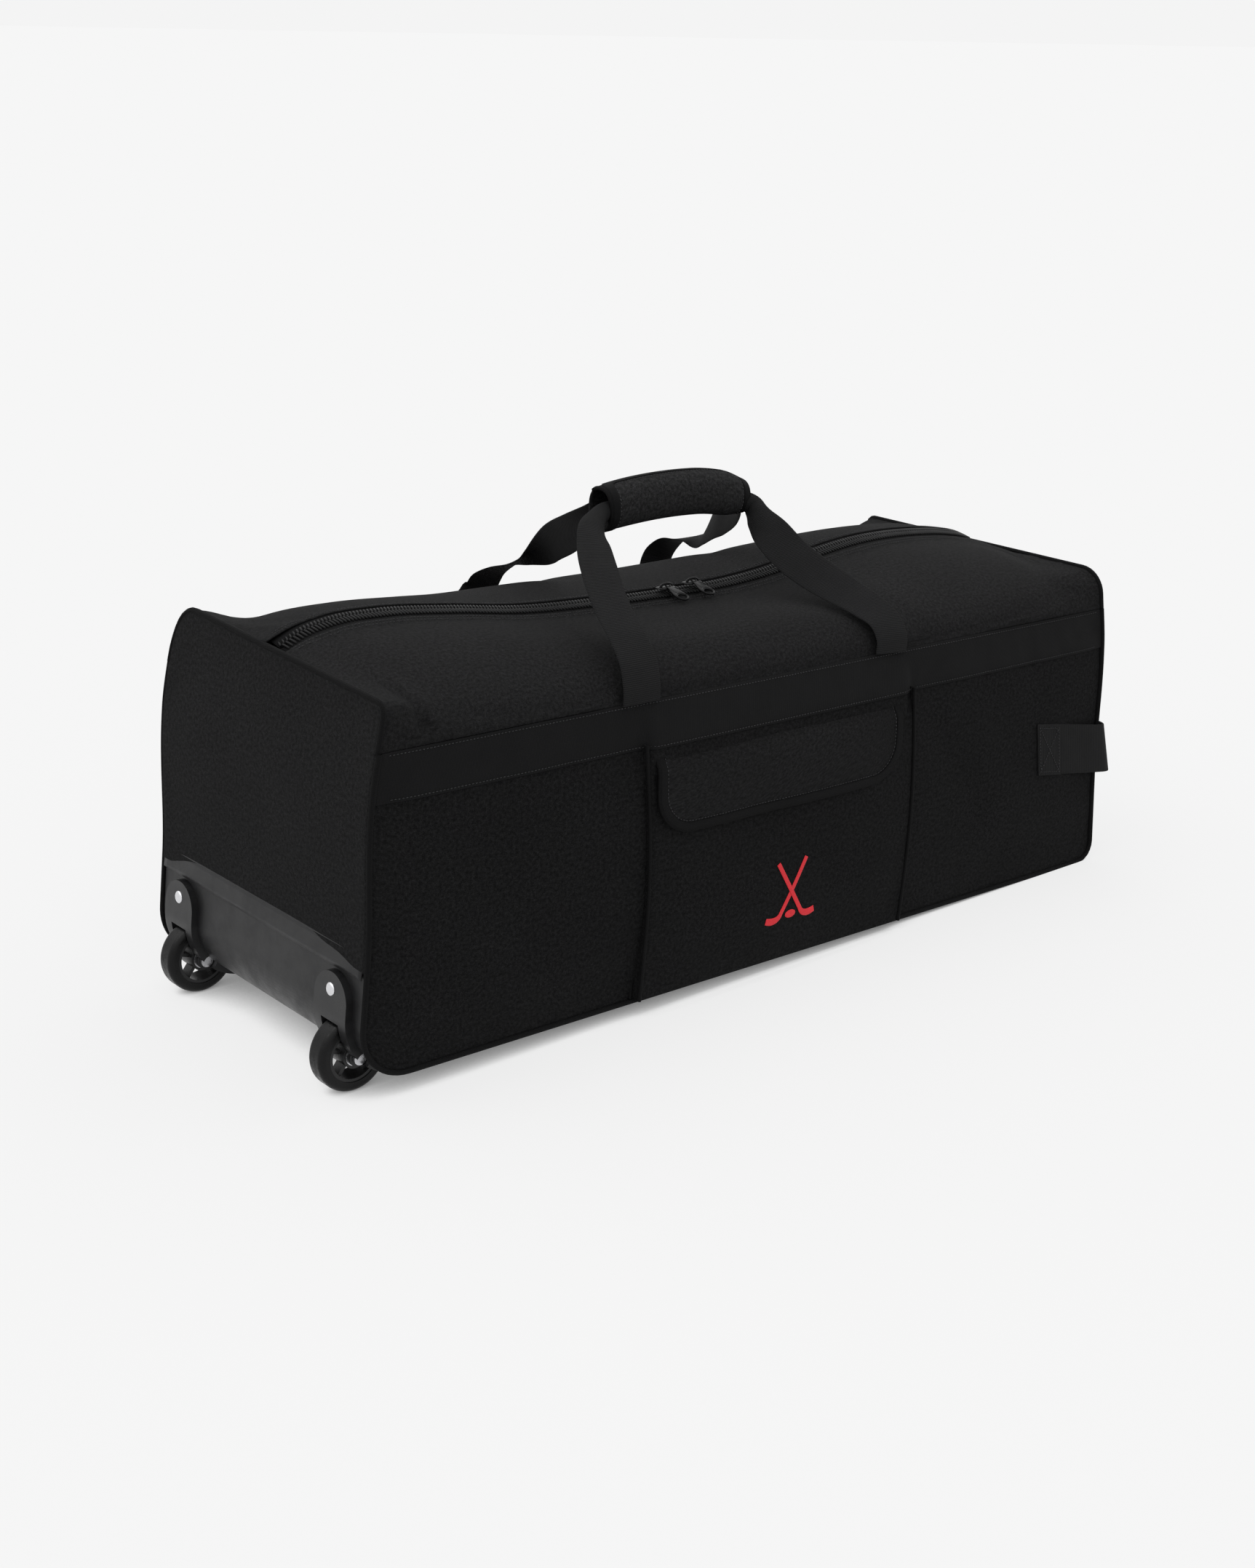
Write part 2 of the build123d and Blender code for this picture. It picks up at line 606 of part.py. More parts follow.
def haul_outline():
    """The strap seen from above: off both sides, round the far corners and across the far end."""
    near = HAUL_X - BOARD_GAP
    side = HALF_WIDTH + HAUL_THICKNESS + HAUL_LIFT
    bulge = HALF_WIDTH + HAUL_BULGE
    far = HALF_BASE + HAUL_REACH
    half = [(near, -side), (far - HAUL_SIDE, -bulge), (far, -bulge)]
    corners = half + [(x, -y) for x, y in half[::-1]]
    wire = Wire.make_polygon([Vector(*corner) for corner in corners], close=True)
    tips = wire.vertices().sort_by(Axis.X)[-2:]
    return Face(wire.fillet_2d(HAUL_BEND, list(tips)))


def haul_handle():
    """A wide strap sewn to both sides that stands off the far end, drooping a little."""
    outline = haul_outline()
    loop = outline - offset(outline, -HAUL_THICKNESS)
    loop = Pos(0, 0, -HAUL_WIDTH / 2) * extrude(loop, HAUL_WIDTH, dir=(0, 0, 1))
    open_end = HAUL_X - BOARD_GAP + 2 * HAUL_THICKNESS
    loop &= box((open_end, HALF_BASE + HAUL_REACH), (-WIDTH, WIDTH), (-HAUL_WIDTH, HAUL_WIDTH))
    droop = Pos(HAUL_X, 0, HAUL_Z) * Rot(0, HAUL_DROOP, 0)
    parts["haul_strap"] = droop * Pos(-HAUL_X, 0, 0) * loop
    depth = (-HALF_WIDTH - HAUL_THICKNESS, -HALF_WIDTH)
    patch = box((-HAUL_PATCH, 0), depth, (-HAUL_WIDTH / 2, HAUL_WIDTH / 2))
    parts["haul_patches"] = Compound(children=[droop * patch, droop * mirror(patch, Plane.XZ)])


# The whole bag, tilted onto its wheels

def tilt():
    """The angle between the base and the floor, which touches both the wheels and the far corner."""
    run = HALF_BASE - FAR_CORNER - AXLE_X
    rise = FAR_CORNER - AXLE_Z
    slope = math.atan2(rise, run)
    return math.degrees(slope + math.asin((WHEEL_RADIUS - FAR_CORNER) / math.hypot(run, rise)))


def build():
    walls()
    piping()
    bands()
    running_gear()
    top()
    handles()
    zip_hardware()
    pocket()
    flap()
    mark()
    haul_handle()


def stand():
    """The move from the bag's own frame to the finished frame."""
    turn = Rot(0, tilt(), 0)
    bounds = Compound(children=[turn * shape for shape in parts.values()]).bounding_box()
    middle = bounds.center()
    return Pos(-middle.X, -middle.Y, -bounds.min.Z) * turn


build()
STAND = stand()
os.makedirs("parts", exist_ok=True)
for node, shape in parts.items():
    export_step(STAND * shape, f"parts/{node}.step")
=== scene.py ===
import json
import math

import bpy
import numpy as np
from mathutils import Matrix, Vector
from mathutils.bvhtree import BVHTree


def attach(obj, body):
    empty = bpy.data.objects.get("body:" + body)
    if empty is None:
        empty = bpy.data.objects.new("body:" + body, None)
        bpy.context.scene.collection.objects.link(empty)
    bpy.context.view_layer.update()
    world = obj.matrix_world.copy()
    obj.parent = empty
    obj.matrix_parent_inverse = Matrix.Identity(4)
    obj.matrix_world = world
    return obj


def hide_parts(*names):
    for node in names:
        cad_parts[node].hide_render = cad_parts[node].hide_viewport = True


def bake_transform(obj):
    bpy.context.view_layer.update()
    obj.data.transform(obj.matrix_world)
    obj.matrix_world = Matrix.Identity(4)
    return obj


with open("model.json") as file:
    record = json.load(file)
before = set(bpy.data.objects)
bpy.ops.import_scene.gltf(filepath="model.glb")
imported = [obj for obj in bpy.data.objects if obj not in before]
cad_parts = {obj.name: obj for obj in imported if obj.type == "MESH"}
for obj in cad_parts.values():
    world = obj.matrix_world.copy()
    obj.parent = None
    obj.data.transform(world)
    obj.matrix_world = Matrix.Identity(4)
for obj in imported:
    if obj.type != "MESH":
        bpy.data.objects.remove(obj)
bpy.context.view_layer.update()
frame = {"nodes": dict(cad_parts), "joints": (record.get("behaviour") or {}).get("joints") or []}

# The bag's own frame: X along the bag with the wheels at -X, the pocket side at -Y, Z up from the underside
# of the base. The bag leans on its wheels, so this frame is turned a little about Y. All lengths are in metres.
JOINTS = {joint["name"]: joint for joint in frame["joints"]}


def span(node, into):
    """Lowest and highest corner of a CAD node, seen in another frame."""
    corners = np.array([into @ vertex.co for vertex in frame["nodes"][node].data.vertices])
    return Vector(corners.min(0)), Vector(corners.max(0))


def bag_frame():
    axis = JOINTS["top_front_open"]["axis"]
    turn = Matrix.Rotation(math.atan2(-axis[2], axis[0]), 4, "Y")
    level = turn.inverted()
    tab_low, tab_high = span("zip_end_tabs", level)
    base_low, _ = span("base_panel", level)
    origin = Vector(((tab_low.x + tab_high.x) / 2, (tab_low.y + tab_high.y) / 2, base_low.z))
    return Matrix.Translation(turn @ origin) @ turn


BAG = bag_frame()
TO_BAG = BAG.inverted()


def cad(node):
    return span(node, TO_BAG)

def pivot_of(joint):
    return TO_BAG @ Vector(JOINTS[joint]["pos_m"])


# Driving sizes, read from the CAD
HALF_TOP = cad("zip_end_tabs")[1].x
HALF_WIDTH = cad("rear_panel")[1].y
HEIGHT = cad("wheel_end_panel")[1].z
FOLD = cad("front_panel")[1].z
BAND_FOOT = cad("band_front")[0].z
SEAM_X = cad("top_front_panel")[1].x
KICK_TOP = cad("kick_panel")[1].z
KICK_REACH = cad("kick_panel")[1].x
POCKET_LOW, POCKET_HIGH = cad("pocket_panel")
FLAP_LOW, FLAP_HIGH = cad("flap_panel")
GRIP_LOW, GRIP_HIGH = cad("grip_pad")

# Shapes that the cloth takes on
LEAN = 0.0888
HALF_BASE = HALF_TOP + LEAN * HEIGHT
SIDES = (("front", -1), ("rear", 1))
ENDS = (("wheel", -1), ("far", 1))
END_BULGE = 0.008
WHEEL_CORNER = 0.058
FAR_CORNER = 0.025
SHOULDERS = {(-1, -1): 0.011, (-1, 1): 0.046, (1, -1): 0.028, (1, 1): 0.012}
CLOTH = 0.0015
PIPING = 0.0030
BAND_OUT = 0.0016
BAND_STITCH = 0.0032
ZIP_HALF = 0.0160
ZIP_TILT = 0.20
CREST = 0.397
RIDGE = [(-SEAM_X, 0.3925), (-0.495, 0.403), (-0.46, 0.411), (-0.40, 0.4125), (-0.31, 0.404), (-0.22, 0.392),
         (-0.12, 0.3865), (0.0, 0.384), (0.09, 0.3855), (0.155, 0.3915), (0.215, 0.402), (0.30, 0.412),
         (0.40, 0.411), (0.455, 0.405), (0.49, 0.397), (SEAM_X, 0.384)]
# Soft valleys in the top: side, place along the bag at the fold, slant, how far up they reach, depth, width
CREASES = [(-1, -0.474, -0.020, 0.72, 0.0085, 0.0055), (-1, 0.462, 0.030, 0.55, 0.0030, 0.012),
           (1, -0.462, -0.030, 0.60, 0.0034, 0.010), (1, 0.470, 0.020, 0.60, 0.0034, 0.009),
           (-1, -0.262, 0.050, 0.90, 0.0022, 0.016), (-1, 0.215, -0.045, 0.80, 0.0020, 0.018),
           (1, -0.10, 0.060, 0.80, 0.0022, 0.020), (1, 0.22, -0.060, 0.85, 0.0022, 0.020)]
# Soft valleys in the sides: side, x and z where they start and end, depth, width
DENTS = [(-1, (0.205, 0.270), (0.330, 0.110), 0.0042, 0.022), (-1, (0.400, 0.250), (0.300, 0.060), 0.0020, 0.026),
         (-1, (-0.500, 0.110), (-0.380, 0.020), 0.0034, 0.024), (-1, (-0.300, 0.285), (-0.400, 0.150), 0.0020, 0.026),
         (1, (0.250, 0.300), (0.120, 0.100), 0.0040, 0.028), (1, (-0.150, 0.280), (-0.320, 0.080), 0.0042, 0.030),
         (1, (0.420, 0.240), (0.470, 0.080), 0.0030, 0.022)]


# Small maths

def smooth(t):
    t = np.clip(t, 0.0, 1.0)
    return t * t * (3 - 2 * t)


def mix(a, b, t):
    return a + (b - a) * t


def curve_through(knots, at):
    """A smooth curve through rows of numbers, read at places from 0 to 1."""
    knots = np.array(knots, float)
    place = np.clip(np.asarray(at, float), 0, 1) * (len(knots) - 1)
    first = np.minimum(place.astype(int), len(knots) - 2)
    t = (place - first)[..., None]
    a, b, c, d = (knots[np.clip(first + step, 0, len(knots) - 1)] for step in (-1, 0, 1, 2))
    return 0.5 * (2 * b + (c - a) * t + (2 * a - 5 * b + 4 * c - d) * t**2 + (3 * b - a - 3 * c + d) * t**3)


def waves(x, y, seed, scale):
    """Soft, unrepeated unevenness from a few slanted waves, about -1 to 1."""
    count = 7
    draw = np.random.default_rng(seed)
    total = np.zeros(np.broadcast(x, y).shape)
    for _ in range(count):
        angle, phase = draw.uniform(0, 2 * math.pi, 2)
        size = scale * draw.uniform(0.6, 1.7)
        total += np.sin(2 * math.pi * (x * math.cos(angle) + y * math.sin(angle)) / size + phase)
    return total / math.sqrt(count) / 1.5


def unit(v):
    return v / np.maximum(np.linalg.norm(v, axis=-1, keepdims=True), 1e-12)


def points_at(*numbers):
    """Points from the numbers along each axis, which are spread to fit one another."""
    return np.stack(np.broadcast_arrays(*numbers), -1)


def ridge(x):
    """Height of the zip line."""
    places, heights = np.array(RIDGE).T
    slopes = np.gradient(heights, places)
    spot = np.clip(np.searchsorted(places, x) - 1, 0, len(places) - 2)
    gap = places[spot + 1] - places[spot]
    t = (np.clip(x, -SEAM_X, SEAM_X) - places[spot]) / gap
    low, high = heights[spot], heights[spot + 1]
    level = (2 * t**3 - 3 * t**2 + 1) * low + (3 * t**2 - 2 * t**3) * high
    return level + gap * ((t**3 - 2 * t**2 + t) * slopes[spot] + (t**3 - t**2) * slopes[spot + 1])


def end_x(z):
    """How far out an end stands at a height: it leans in, and bulges a little below its shoulder."""
    bulge = smooth((z - KICK_TOP) / 0.15) * smooth((HEIGHT - z) / 0.10)
    return HALF_BASE - LEAN * z + END_BULGE * bulge


def rise(end, y):
    """How far the top of an end stands over its plain height: the wheel end is pulled up towards the rear."""
    return np.where(np.asarray(end) < 0, 0.0085 + 0.045 * y, 0.0)


def valley(x, z, start, end, width):
    """How much a point lies in a soft valley from start to end, from 0 to 1."""
    run = np.array(end) - start
    length = np.linalg.norm(run)
    along = run / length
    reach = ((x - start[0]) * along[0] + (z - start[1]) * along[1]) / length
    off = (x - start[0]) * along[1] - (z - start[1]) * along[0]
    return np.exp(-(off / width) ** 2) * smooth((reach + 0.25) / 0.5) * smooth((1.25 - reach) / 0.5)


# Mesh tools

def mesh_piece(name, points, faces, look, uv=None):
    """A piece from points in the bag's own frame. uv holds each point's place on the flat cloth, in metres."""
    mesh = bpy.data.meshes.new(name)
    mesh.from_pydata(np.asarray(points).reshape(-1, 3).tolist(), [], [list(face) for face in faces])
    mesh.transform(BAG)
    piece = bpy.data.objects.new(name, mesh)
    bpy.context.scene.collection.objects.link(piece)
    mesh.materials.append(MATERIAL[look])
    mesh.polygons.foreach_set("use_smooth", np.ones(len(mesh.polygons), bool))
    if uv is not None:
        layer = mesh.uv_layers.new(name="cloth")
        corner = np.zeros(len(mesh.loops), int)
        mesh.loops.foreach_get("vertex_index", corner)
        layer.data.foreach_set("uv", np.asarray(uv).reshape(-1, 2)[corner].astype(np.float32).ravel())
    return piece


def grid_faces(rows, columns, around=False):
    """Quads of a grid of points. around joins the last column to the first."""
    faces = []
    for row in range(rows - 1):
        for column in range(columns if around else columns - 1):
            right = (column + 1) % columns
            faces.append((row * columns + column, row * columns + right,
                          (row + 1) * columns + right, (row + 1) * columns + column))
    return faces


def grid_uv(points):
    """Each point's distance along the rows and down the columns of its grid."""
    across = np.zeros(points.shape[:2])
    down = np.zeros(points.shape[:2])
    across[:, 1:] = np.cumsum(np.linalg.norm(np.diff(points, axis=1), axis=-1), axis=1)
    down[1:] = np.cumsum(np.linalg.norm(np.diff(points, axis=0), axis=-1), axis=0)
    return points_at(across, down)


def panel(name, points, look, flip=False):
    """A grid of points as one sheet of cloth."""
    faces = grid_faces(*points.shape[:2])
    if flip:
        faces = [face[::-1] for face in faces]
    return mesh_piece(name, points, faces, look, grid_uv(points))


def thicken(piece, thickness, offset=-1.0):
    solid = piece.modifiers.new("thickness", "SOLIDIFY")
    solid.thickness = thickness
    solid.offset = offset
    solid.use_even_offset = False
    return piece


def refine(piece):
    subdivision = piece.modifiers.new("smooth", "SUBSURF")
    subdivision.levels = 1
    subdivision.render_levels = 1
    subdivision.boundary_smooth = "PRESERVE_CORNERS"


def ease(piece, width):
    """Rounds the sharp edges of a hard piece."""
    bevel = piece.modifiers.new("ease", "BEVEL")
    bevel.width = width
    bevel.segments = 2
    bevel.limit_method = "ANGLE"
    bevel.angle_limit = math.radians(40)


def sweep(name, path, radius, across, look, closed=False):
    """A round cord along a path, with a direction across it that its section is drawn from."""
    path = np.asarray(path, float)
    across = np.broadcast_to(np.asarray(across, float), path.shape)
    along = np.roll(path, -1, 0) - np.roll(path, 1, 0)
    if not closed:
        along[0] = path[1] - path[0]
        along[-1] = path[-1] - path[-2]
    along = unit(along)
    side = unit(across - np.sum(across * along, -1, keepdims=True) * along)
    out = np.cross(along, side)
    count = 8
    turn = np.arange(count)[:, None] * 2 * math.pi / count
    points = path[:, None] + radius * (np.cos(turn) * side[:, None] + np.sin(turn) * out[:, None])
    faces = grid_faces(len(path), count, around=True)
    last = (len(path) - 1) * count
    if closed:
        faces += [(last + i, last + (i + 1) % count, (i + 1) % count, i) for i in range(count)]
    else:
        faces += [tuple(range(count))[::-1], tuple(range(last, last + count))]
    ring = np.concatenate([points, points[:, :1]], 1)
    return mesh_piece(name, points, faces, look, grid_uv(ring)[:, :-1])


def resample(path, spacing):
    """Points along a path at an even spacing."""
    path = np.asarray(path, float)
    length = np.concatenate([[0], np.cumsum(np.linalg.norm(np.diff(path, axis=0), axis=-1))])
    marks = np.linspace(0, length[-1], max(2, int(round(length[-1] / spacing)) + 1))
    return np.stack([np.interp(marks, length, path[:, i]) for i in range(3)], -1)


def surface_of(piece):
    """A finished piece as a surface to lay things on, in the bag's own frame."""
    graph = bpy.context.evaluated_depsgraph_get()
    shown = piece.evaluated_get(graph)
    mesh = shown.to_mesh()
    points = [TO_BAG @ shown.matrix_world @ vertex.co for vertex in mesh.vertices]
    tree = BVHTree.FromPolygons(points, [tuple(face.vertices) for face in mesh.polygons])
    shown.to_mesh_clear()
    return tree


def lay_on(tree, path, lift, toward):
    """Moves the points of a path onto a surface, from the side that toward looks from."""
    laid = []
    normals = []
    for point in path:
        start = Vector(point) + Vector(toward) * 0.08
        spot, normal, _, _ = tree.ray_cast(start, -Vector(toward), 0.16)
        if spot is None:
            spot, normal, _, _ = tree.find_nearest(Vector(point))
        if normal.dot(Vector(toward)) < 0:
            normal = -normal
        laid.append(spot + normal * lift)
        normals.append(normal)
    return np.array(laid), np.array(normals)


STITCH_PITCH = 0.0042
STITCH_LENGTH = 0.0033
STITCH_WIDTH = 0.00065
STITCH_LIFT = 0.0004


def stitches(name, lines):
    """Rows of thread stitches. Each line is its points and the surface normals at them."""
    points = []
    faces = []
    for path, normals in lines:
        spots = resample(path, STITCH_PITCH)
        nearest = [int(np.argmin(np.linalg.norm(path - spot, axis=1))) for spot in spots]
        up = unit(normals[nearest])
        along = unit(np.gradient(spots, axis=0))
        side = np.cross(along, up)
        for spot, a, s, u in zip(spots, along, side, up):
            first = len(points)
            points += [spot - a * STITCH_LENGTH / 2, spot + a * STITCH_LENGTH / 2,
                       spot - s * STITCH_WIDTH, spot + s * STITCH_WIDTH,
                       spot + u * STITCH_WIDTH, spot - u * STITCH_WIDTH]
            for tip in (0, 1):
                for i, j in ((2, 4), (4, 3), (3, 5), (5, 2)):
                    faces.append((first + tip, first + i, first + j))
    return mesh_piece(name, points, faces, "thread")


def stitched(name, piece, paths, toward):
    """Stitch lines laid on a piece that is part of the shell."""
    tree = surface_of(piece)
    lines = [lay_on(tree, resample(path, 0.01), STITCH_LIFT, toward) for path in paths]
    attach(stitches(name, lines), "shell")


def tape(name, outer, inner, place):
    """A flat tape between two border lines of a sheet. place gives the point and the way out for a spot on it."""
    steps = np.linspace(0, 1, 4)[None, :, None]
    spots = outer[:, None] * (1 - steps) + inner[:, None] * steps
    points, out = place(spots[..., 0], spots[..., 1])
    piece = mesh_piece(name, points + out * 0.0006, grid_faces(len(outer), 4), "binding",
                       grid_uv(points)[..., ::-1])
    thicken(piece, 0.0008, 0.0)
    return piece


def rounded_u(left, right, low, high, radius):
    """Down one side, round two corners and up the other, as places across and up."""
    turn = np.linspace(0, math.pi / 2, 10)
    down = points_at(left, np.linspace(high, low + radius, 12))
    first = points_at(left + radius * (1 - np.cos(turn)), low + radius * (1 - np.sin(turn)))
    foot = points_at(np.linspace(left + radius, right - radius, 30), low)
    last = points_at(right - radius * (1 - np.sin(turn)), low + radius * (1 - np.cos(turn)))
    up = points_at(right, np.linspace(low + radius, high, 12))
    return np.concatenate([down[:-1], first, foot[1:-1], last, up[1:]])


SETTLE_FRAMES = 14


def settle(piece, pinned, pressure, cap, gravity=0.0, slack=0.0):
    """Cloth simulation of a panel that is held at its seams. No point moves further than cap."""
    scene = bpy.context.scene
    start = np.array([vertex.co for vertex in piece.data.vertices])
    group = piece.vertex_groups.new(name="seams")
    group.add([int(i) for i in np.flatnonzero(pinned)], 1.0, "REPLACE")
    cloth = piece.modifiers.new("cloth", "CLOTH")
    cloth.settings.quality = 5
    cloth.settings.mass = 0.15
    cloth.settings.tension_stiffness = 25
    cloth.settings.compression_stiffness = 25
    cloth.settings.shear_stiffness = 10
    cloth.settings.bending_stiffness = 0.6
    cloth.settings.vertex_group_mass = "seams"
    cloth.settings.use_pressure = True
    cloth.settings.uniform_pressure_force = pressure
    cloth.settings.shrink_min = -slack
    cloth.settings.effector_weights.gravity = gravity
    cloth.collision_settings.use_collision = False
    cloth.point_cache.frame_start = 1
    cloth.point_cache.frame_end = SETTLE_FRAMES
    for number in range(1, SETTLE_FRAMES + 1):
        scene.frame_set(number)
    shown = piece.evaluated_get(bpy.context.evaluated_depsgraph_get())
    settled = np.array([vertex.co for vertex in shown.data.vertices])
    piece.modifiers.remove(cloth)
    piece.vertex_groups.clear()
    scene.frame_set(1)
    move = settled - start
    length = np.linalg.norm(move, axis=1, keepdims=True)
    move *= np.tanh(length / cap) * cap / np.maximum(length, 1e-9)
    piece.data.vertices.foreach_set("co", (start + move).astype(np.float32).ravel())
    piece.data.update()


def edges_of(shape):
    """Which points of a grid lie on its border."""
    border = np.ones(shape, bool)
    border[1:-1, 1:-1] = False
    return border.ravel()


# Materials

def node(tree, kind, inputs=None, **settings):
    """Adds a shader node. Inputs are values, or sockets to link from."""
    made = tree.nodes.new("ShaderNode" + kind)
    for key, value in settings.items():
        setattr(made, key, value)
    for key, value in (inputs or {}).items():
        if isinstance(value, bpy.types.NodeSocket):
            tree.links.new(value, made.inputs[key])
        else:
            made.inputs[key].default_value = value
    return made


def maths(tree, operation, a, b=0.0):
    return node(tree, "Math", {0: a, 1: b}, operation=operation).outputs[0]


def noise_of(tree, place, scale, detail=3.0, roughness=0.5):
    made = node(tree, "TexNoise", {"Vector": place, "Scale": scale, "Detail": detail, "Roughness": roughness})
    return made.outputs["Fac"]


def ramp(tree, factor, low, high, dark, light):
    """Runs from one grey to another as a factor goes from low to high."""
    spread = node(tree, "MapRange", {"Value": factor, "From Min": low, "From Max": high,
                                     "To Min": dark, "To Max": light})
    return spread.outputs["Result"]


def new_material(name, roughness, specular, **constants):
    material = bpy.data.materials.new(name)
    material.use_nodes = True
    tree = material.node_tree
    shader = tree.nodes["Principled BSDF"]
    shader.inputs["Roughness"].default_value = roughness
    shader.inputs["Specular IOR Level"].default_value = specular
    for key, value in constants.items():
        shader.inputs[key.replace("_", " ")].default_value = value
    return material, tree, shader


def tint(tree, shader, colour, shade):
    """The base colour times a shade that varies over the surface."""
    paint = node(tree, "Mix", {"Factor": 1.0, 6: (*colour, 1.0), 7: shade}, data_type="RGBA", blend_type="MULTIPLY")
    tree.links.new(paint.outputs[2], shader.inputs["Base Color"])


def bump(tree, shader, height, distance, strength=1.0, under=None):
    made = node(tree, "Bump", {"Height": height, "Distance": distance, "Strength": strength})
    if under is not None:
        tree.links.new(under, made.inputs["Normal"])
    tree.links.new(made.outputs["Normal"], shader.inputs["Normal"])
    return made.outputs["Normal"]


def cloth_place(tree):
    place = node(tree, "UVMap", uv_map="cloth").outputs["UV"]
    parts = node(tree, "SeparateXYZ", {"Vector": place})
    return place, parts.outputs["X"], parts.outputs["Y"]


def wave_of(tree, value, pitch):
    return maths(tree, "SINE", maths(tree, "MULTIPLY", value, 2 * math.pi / pitch))


def woven(name, colour, thread, specular=0.06):
    """Plain-weave cloth: threads that pass over and under, slubs, specks and faint fading."""
    material, tree, shader = new_material(name, 0.9, specular)
    place, u, v = cloth_place(tree)
    over = maths(tree, "MULTIPLY", wave_of(tree, u, 2 * thread), wave_of(tree, v, 2 * thread))
    threads = maths(tree, "POWER", maths(tree, "ABSOLUTE", over), 0.5)
    slub = noise_of(tree, place, 700.0, 2.0)
    patches = noise_of(tree, place, 7.0, 4.0, 0.6)
    specks = noise_of(tree, place, 260.0, 2.0)
    shade = maths(tree, "MULTIPLY", ramp(tree, slub, 0.3, 0.7, 0.55, 1.45), ramp(tree, patches, 0.3, 0.7, 0.9, 1.1))
    shade = maths(tree, "MULTIPLY", shade, ramp(tree, specks, 0.3, 0.7, 0.5, 1.5))
    shade = maths(tree, "MULTIPLY", shade, ramp(tree, over, -1.0, 1.0, 0.85, 1.15))
    tint(tree, shader, colour, shade)
    relief = maths(tree, "ADD", threads, maths(tree, "MULTIPLY", slub, 0.6))
    bump(tree, shader, relief, 0.00024)
    return material


def ribbed(name, colour, pitch, depth=0.00030, contrast=0.25):
    """Webbing: ribs across its length, each broken into the threads that pass over it."""
    material, tree, shader = new_material(name, 0.8, 0.10)
    place, u, v = cloth_place(tree)
    ribs = wave_of(tree, v, pitch)
    columns = wave_of(tree, u, 0.0009)
    slub = noise_of(tree, place, 700.0, 2.0)
    relief = maths(tree, "ADD", ribs, maths(tree, "MULTIPLY", columns, 0.45))
    relief = maths(tree, "ADD", relief, maths(tree, "MULTIPLY", slub, 0.7))
    # The colour follows the relief: lighter on the rib tops and darker in the grooves, which is painted shade, with
    # real tone from the slubs and broad patches.
    shade = maths(tree, "MULTIPLY", ramp(tree, relief, -1.2, 1.8, 1 - contrast, 1 + contrast),
                  ramp(tree, noise_of(tree, place, 25.0), 0.3, 0.7, 0.9, 1.1))
    tint(tree, shader, colour, shade)
    bump(tree, shader, relief, depth)
    return material


def moulded(name, colour, roughness, specular=0.45, grain=2200.0):
    """Moulded plastic: fine spark-eroded grain, soft flow marks and patches worn smoother."""
    material, tree, shader = new_material(name, roughness, specular)
    place = node(tree, "TexCoord").outputs["Object"]
    fine = noise_of(tree, place, grain, 2.0)
    broad = noise_of(tree, place, 35.0, 5.0, 0.65)
    tint(tree, shader, colour, ramp(tree, broad, 0.3, 0.7, 0.82, 1.18))
    tree.links.new(ramp(tree, broad, 0.35, 0.7, roughness - 0.1, roughness + 0.1), shader.inputs["Roughness"])
    flow = bump(tree, shader, broad, 0.0006, 0.25)
    bump(tree, shader, fine, 0.00012, 0.8, flow)
    return material


def metal(name, colour, roughness):
    """Drawn metal with fine lines along it."""
    material, tree, shader = new_material(name, roughness, 0.5, Metallic=1.0)
    place = node(tree, "TexCoord").outputs["Object"]
    stretched = node(tree, "Mapping", {"Vector": place, "Scale": (1.0, 14.0, 1.0)}).outputs["Vector"]
    lines = noise_of(tree, stretched, 400.0, 4.0, 0.7)
    tint(tree, shader, colour, ramp(tree, lines, 0.3, 0.7, 0.85, 1.1))
    tree.links.new(ramp(tree, lines, 0.3, 0.7, roughness * 0.6, roughness * 1.6), shader.inputs["Roughness"])
    bump(tree, shader, lines, 0.00006, 0.4)
    return material


def rubber(name, colour):
    """A cast tyre, glossy with scuffed and dusty patches."""
    material, tree, shader = new_material(name, 0.3, 0.17)
    place = node(tree, "TexCoord").outputs["Object"]
    scuff = noise_of(tree, place, 160.0, 6.0, 0.7)
    tint(tree, shader, colour, ramp(tree, scuff, 0.4, 0.68, 0.8, 1.6))
    tree.links.new(ramp(tree, scuff, 0.4, 0.65, 0.22, 0.55), shader.inputs["Roughness"])
    bump(tree, shader, scuff, 0.0003, 0.5)
    return material


def print_ink(name, colour):
    """Thick screen print with a fine grain."""
    material, tree, shader = new_material(name, 0.55, 0.3)
    place = node(tree, "TexCoord").outputs["Object"]
    grain = noise_of(tree, place, 900.0, 3.0)
    tint(tree, shader, colour, ramp(tree, grain, 0.3, 0.7, 0.86, 1.1))
    bump(tree, shader, grain, 0.0002, 0.6)
    return material


def hooked(name, colour):
    """Hook and loop tape: a dense pile of small loops."""
    material, tree, shader = new_material(name, 0.9, 0.15, Sheen_Weight=0.2)
    place = node(tree, "TexCoord").outputs["Object"]
    loops = node(tree, "TexVoronoi", {"Vector": place, "Scale": 900.0}).outputs["Distance"]
    tint(tree, shader, colour, ramp(tree, loops, 0.0, 0.6, 1.3, 0.6))
    bump(tree, shader, loops, 0.0006)
    return material


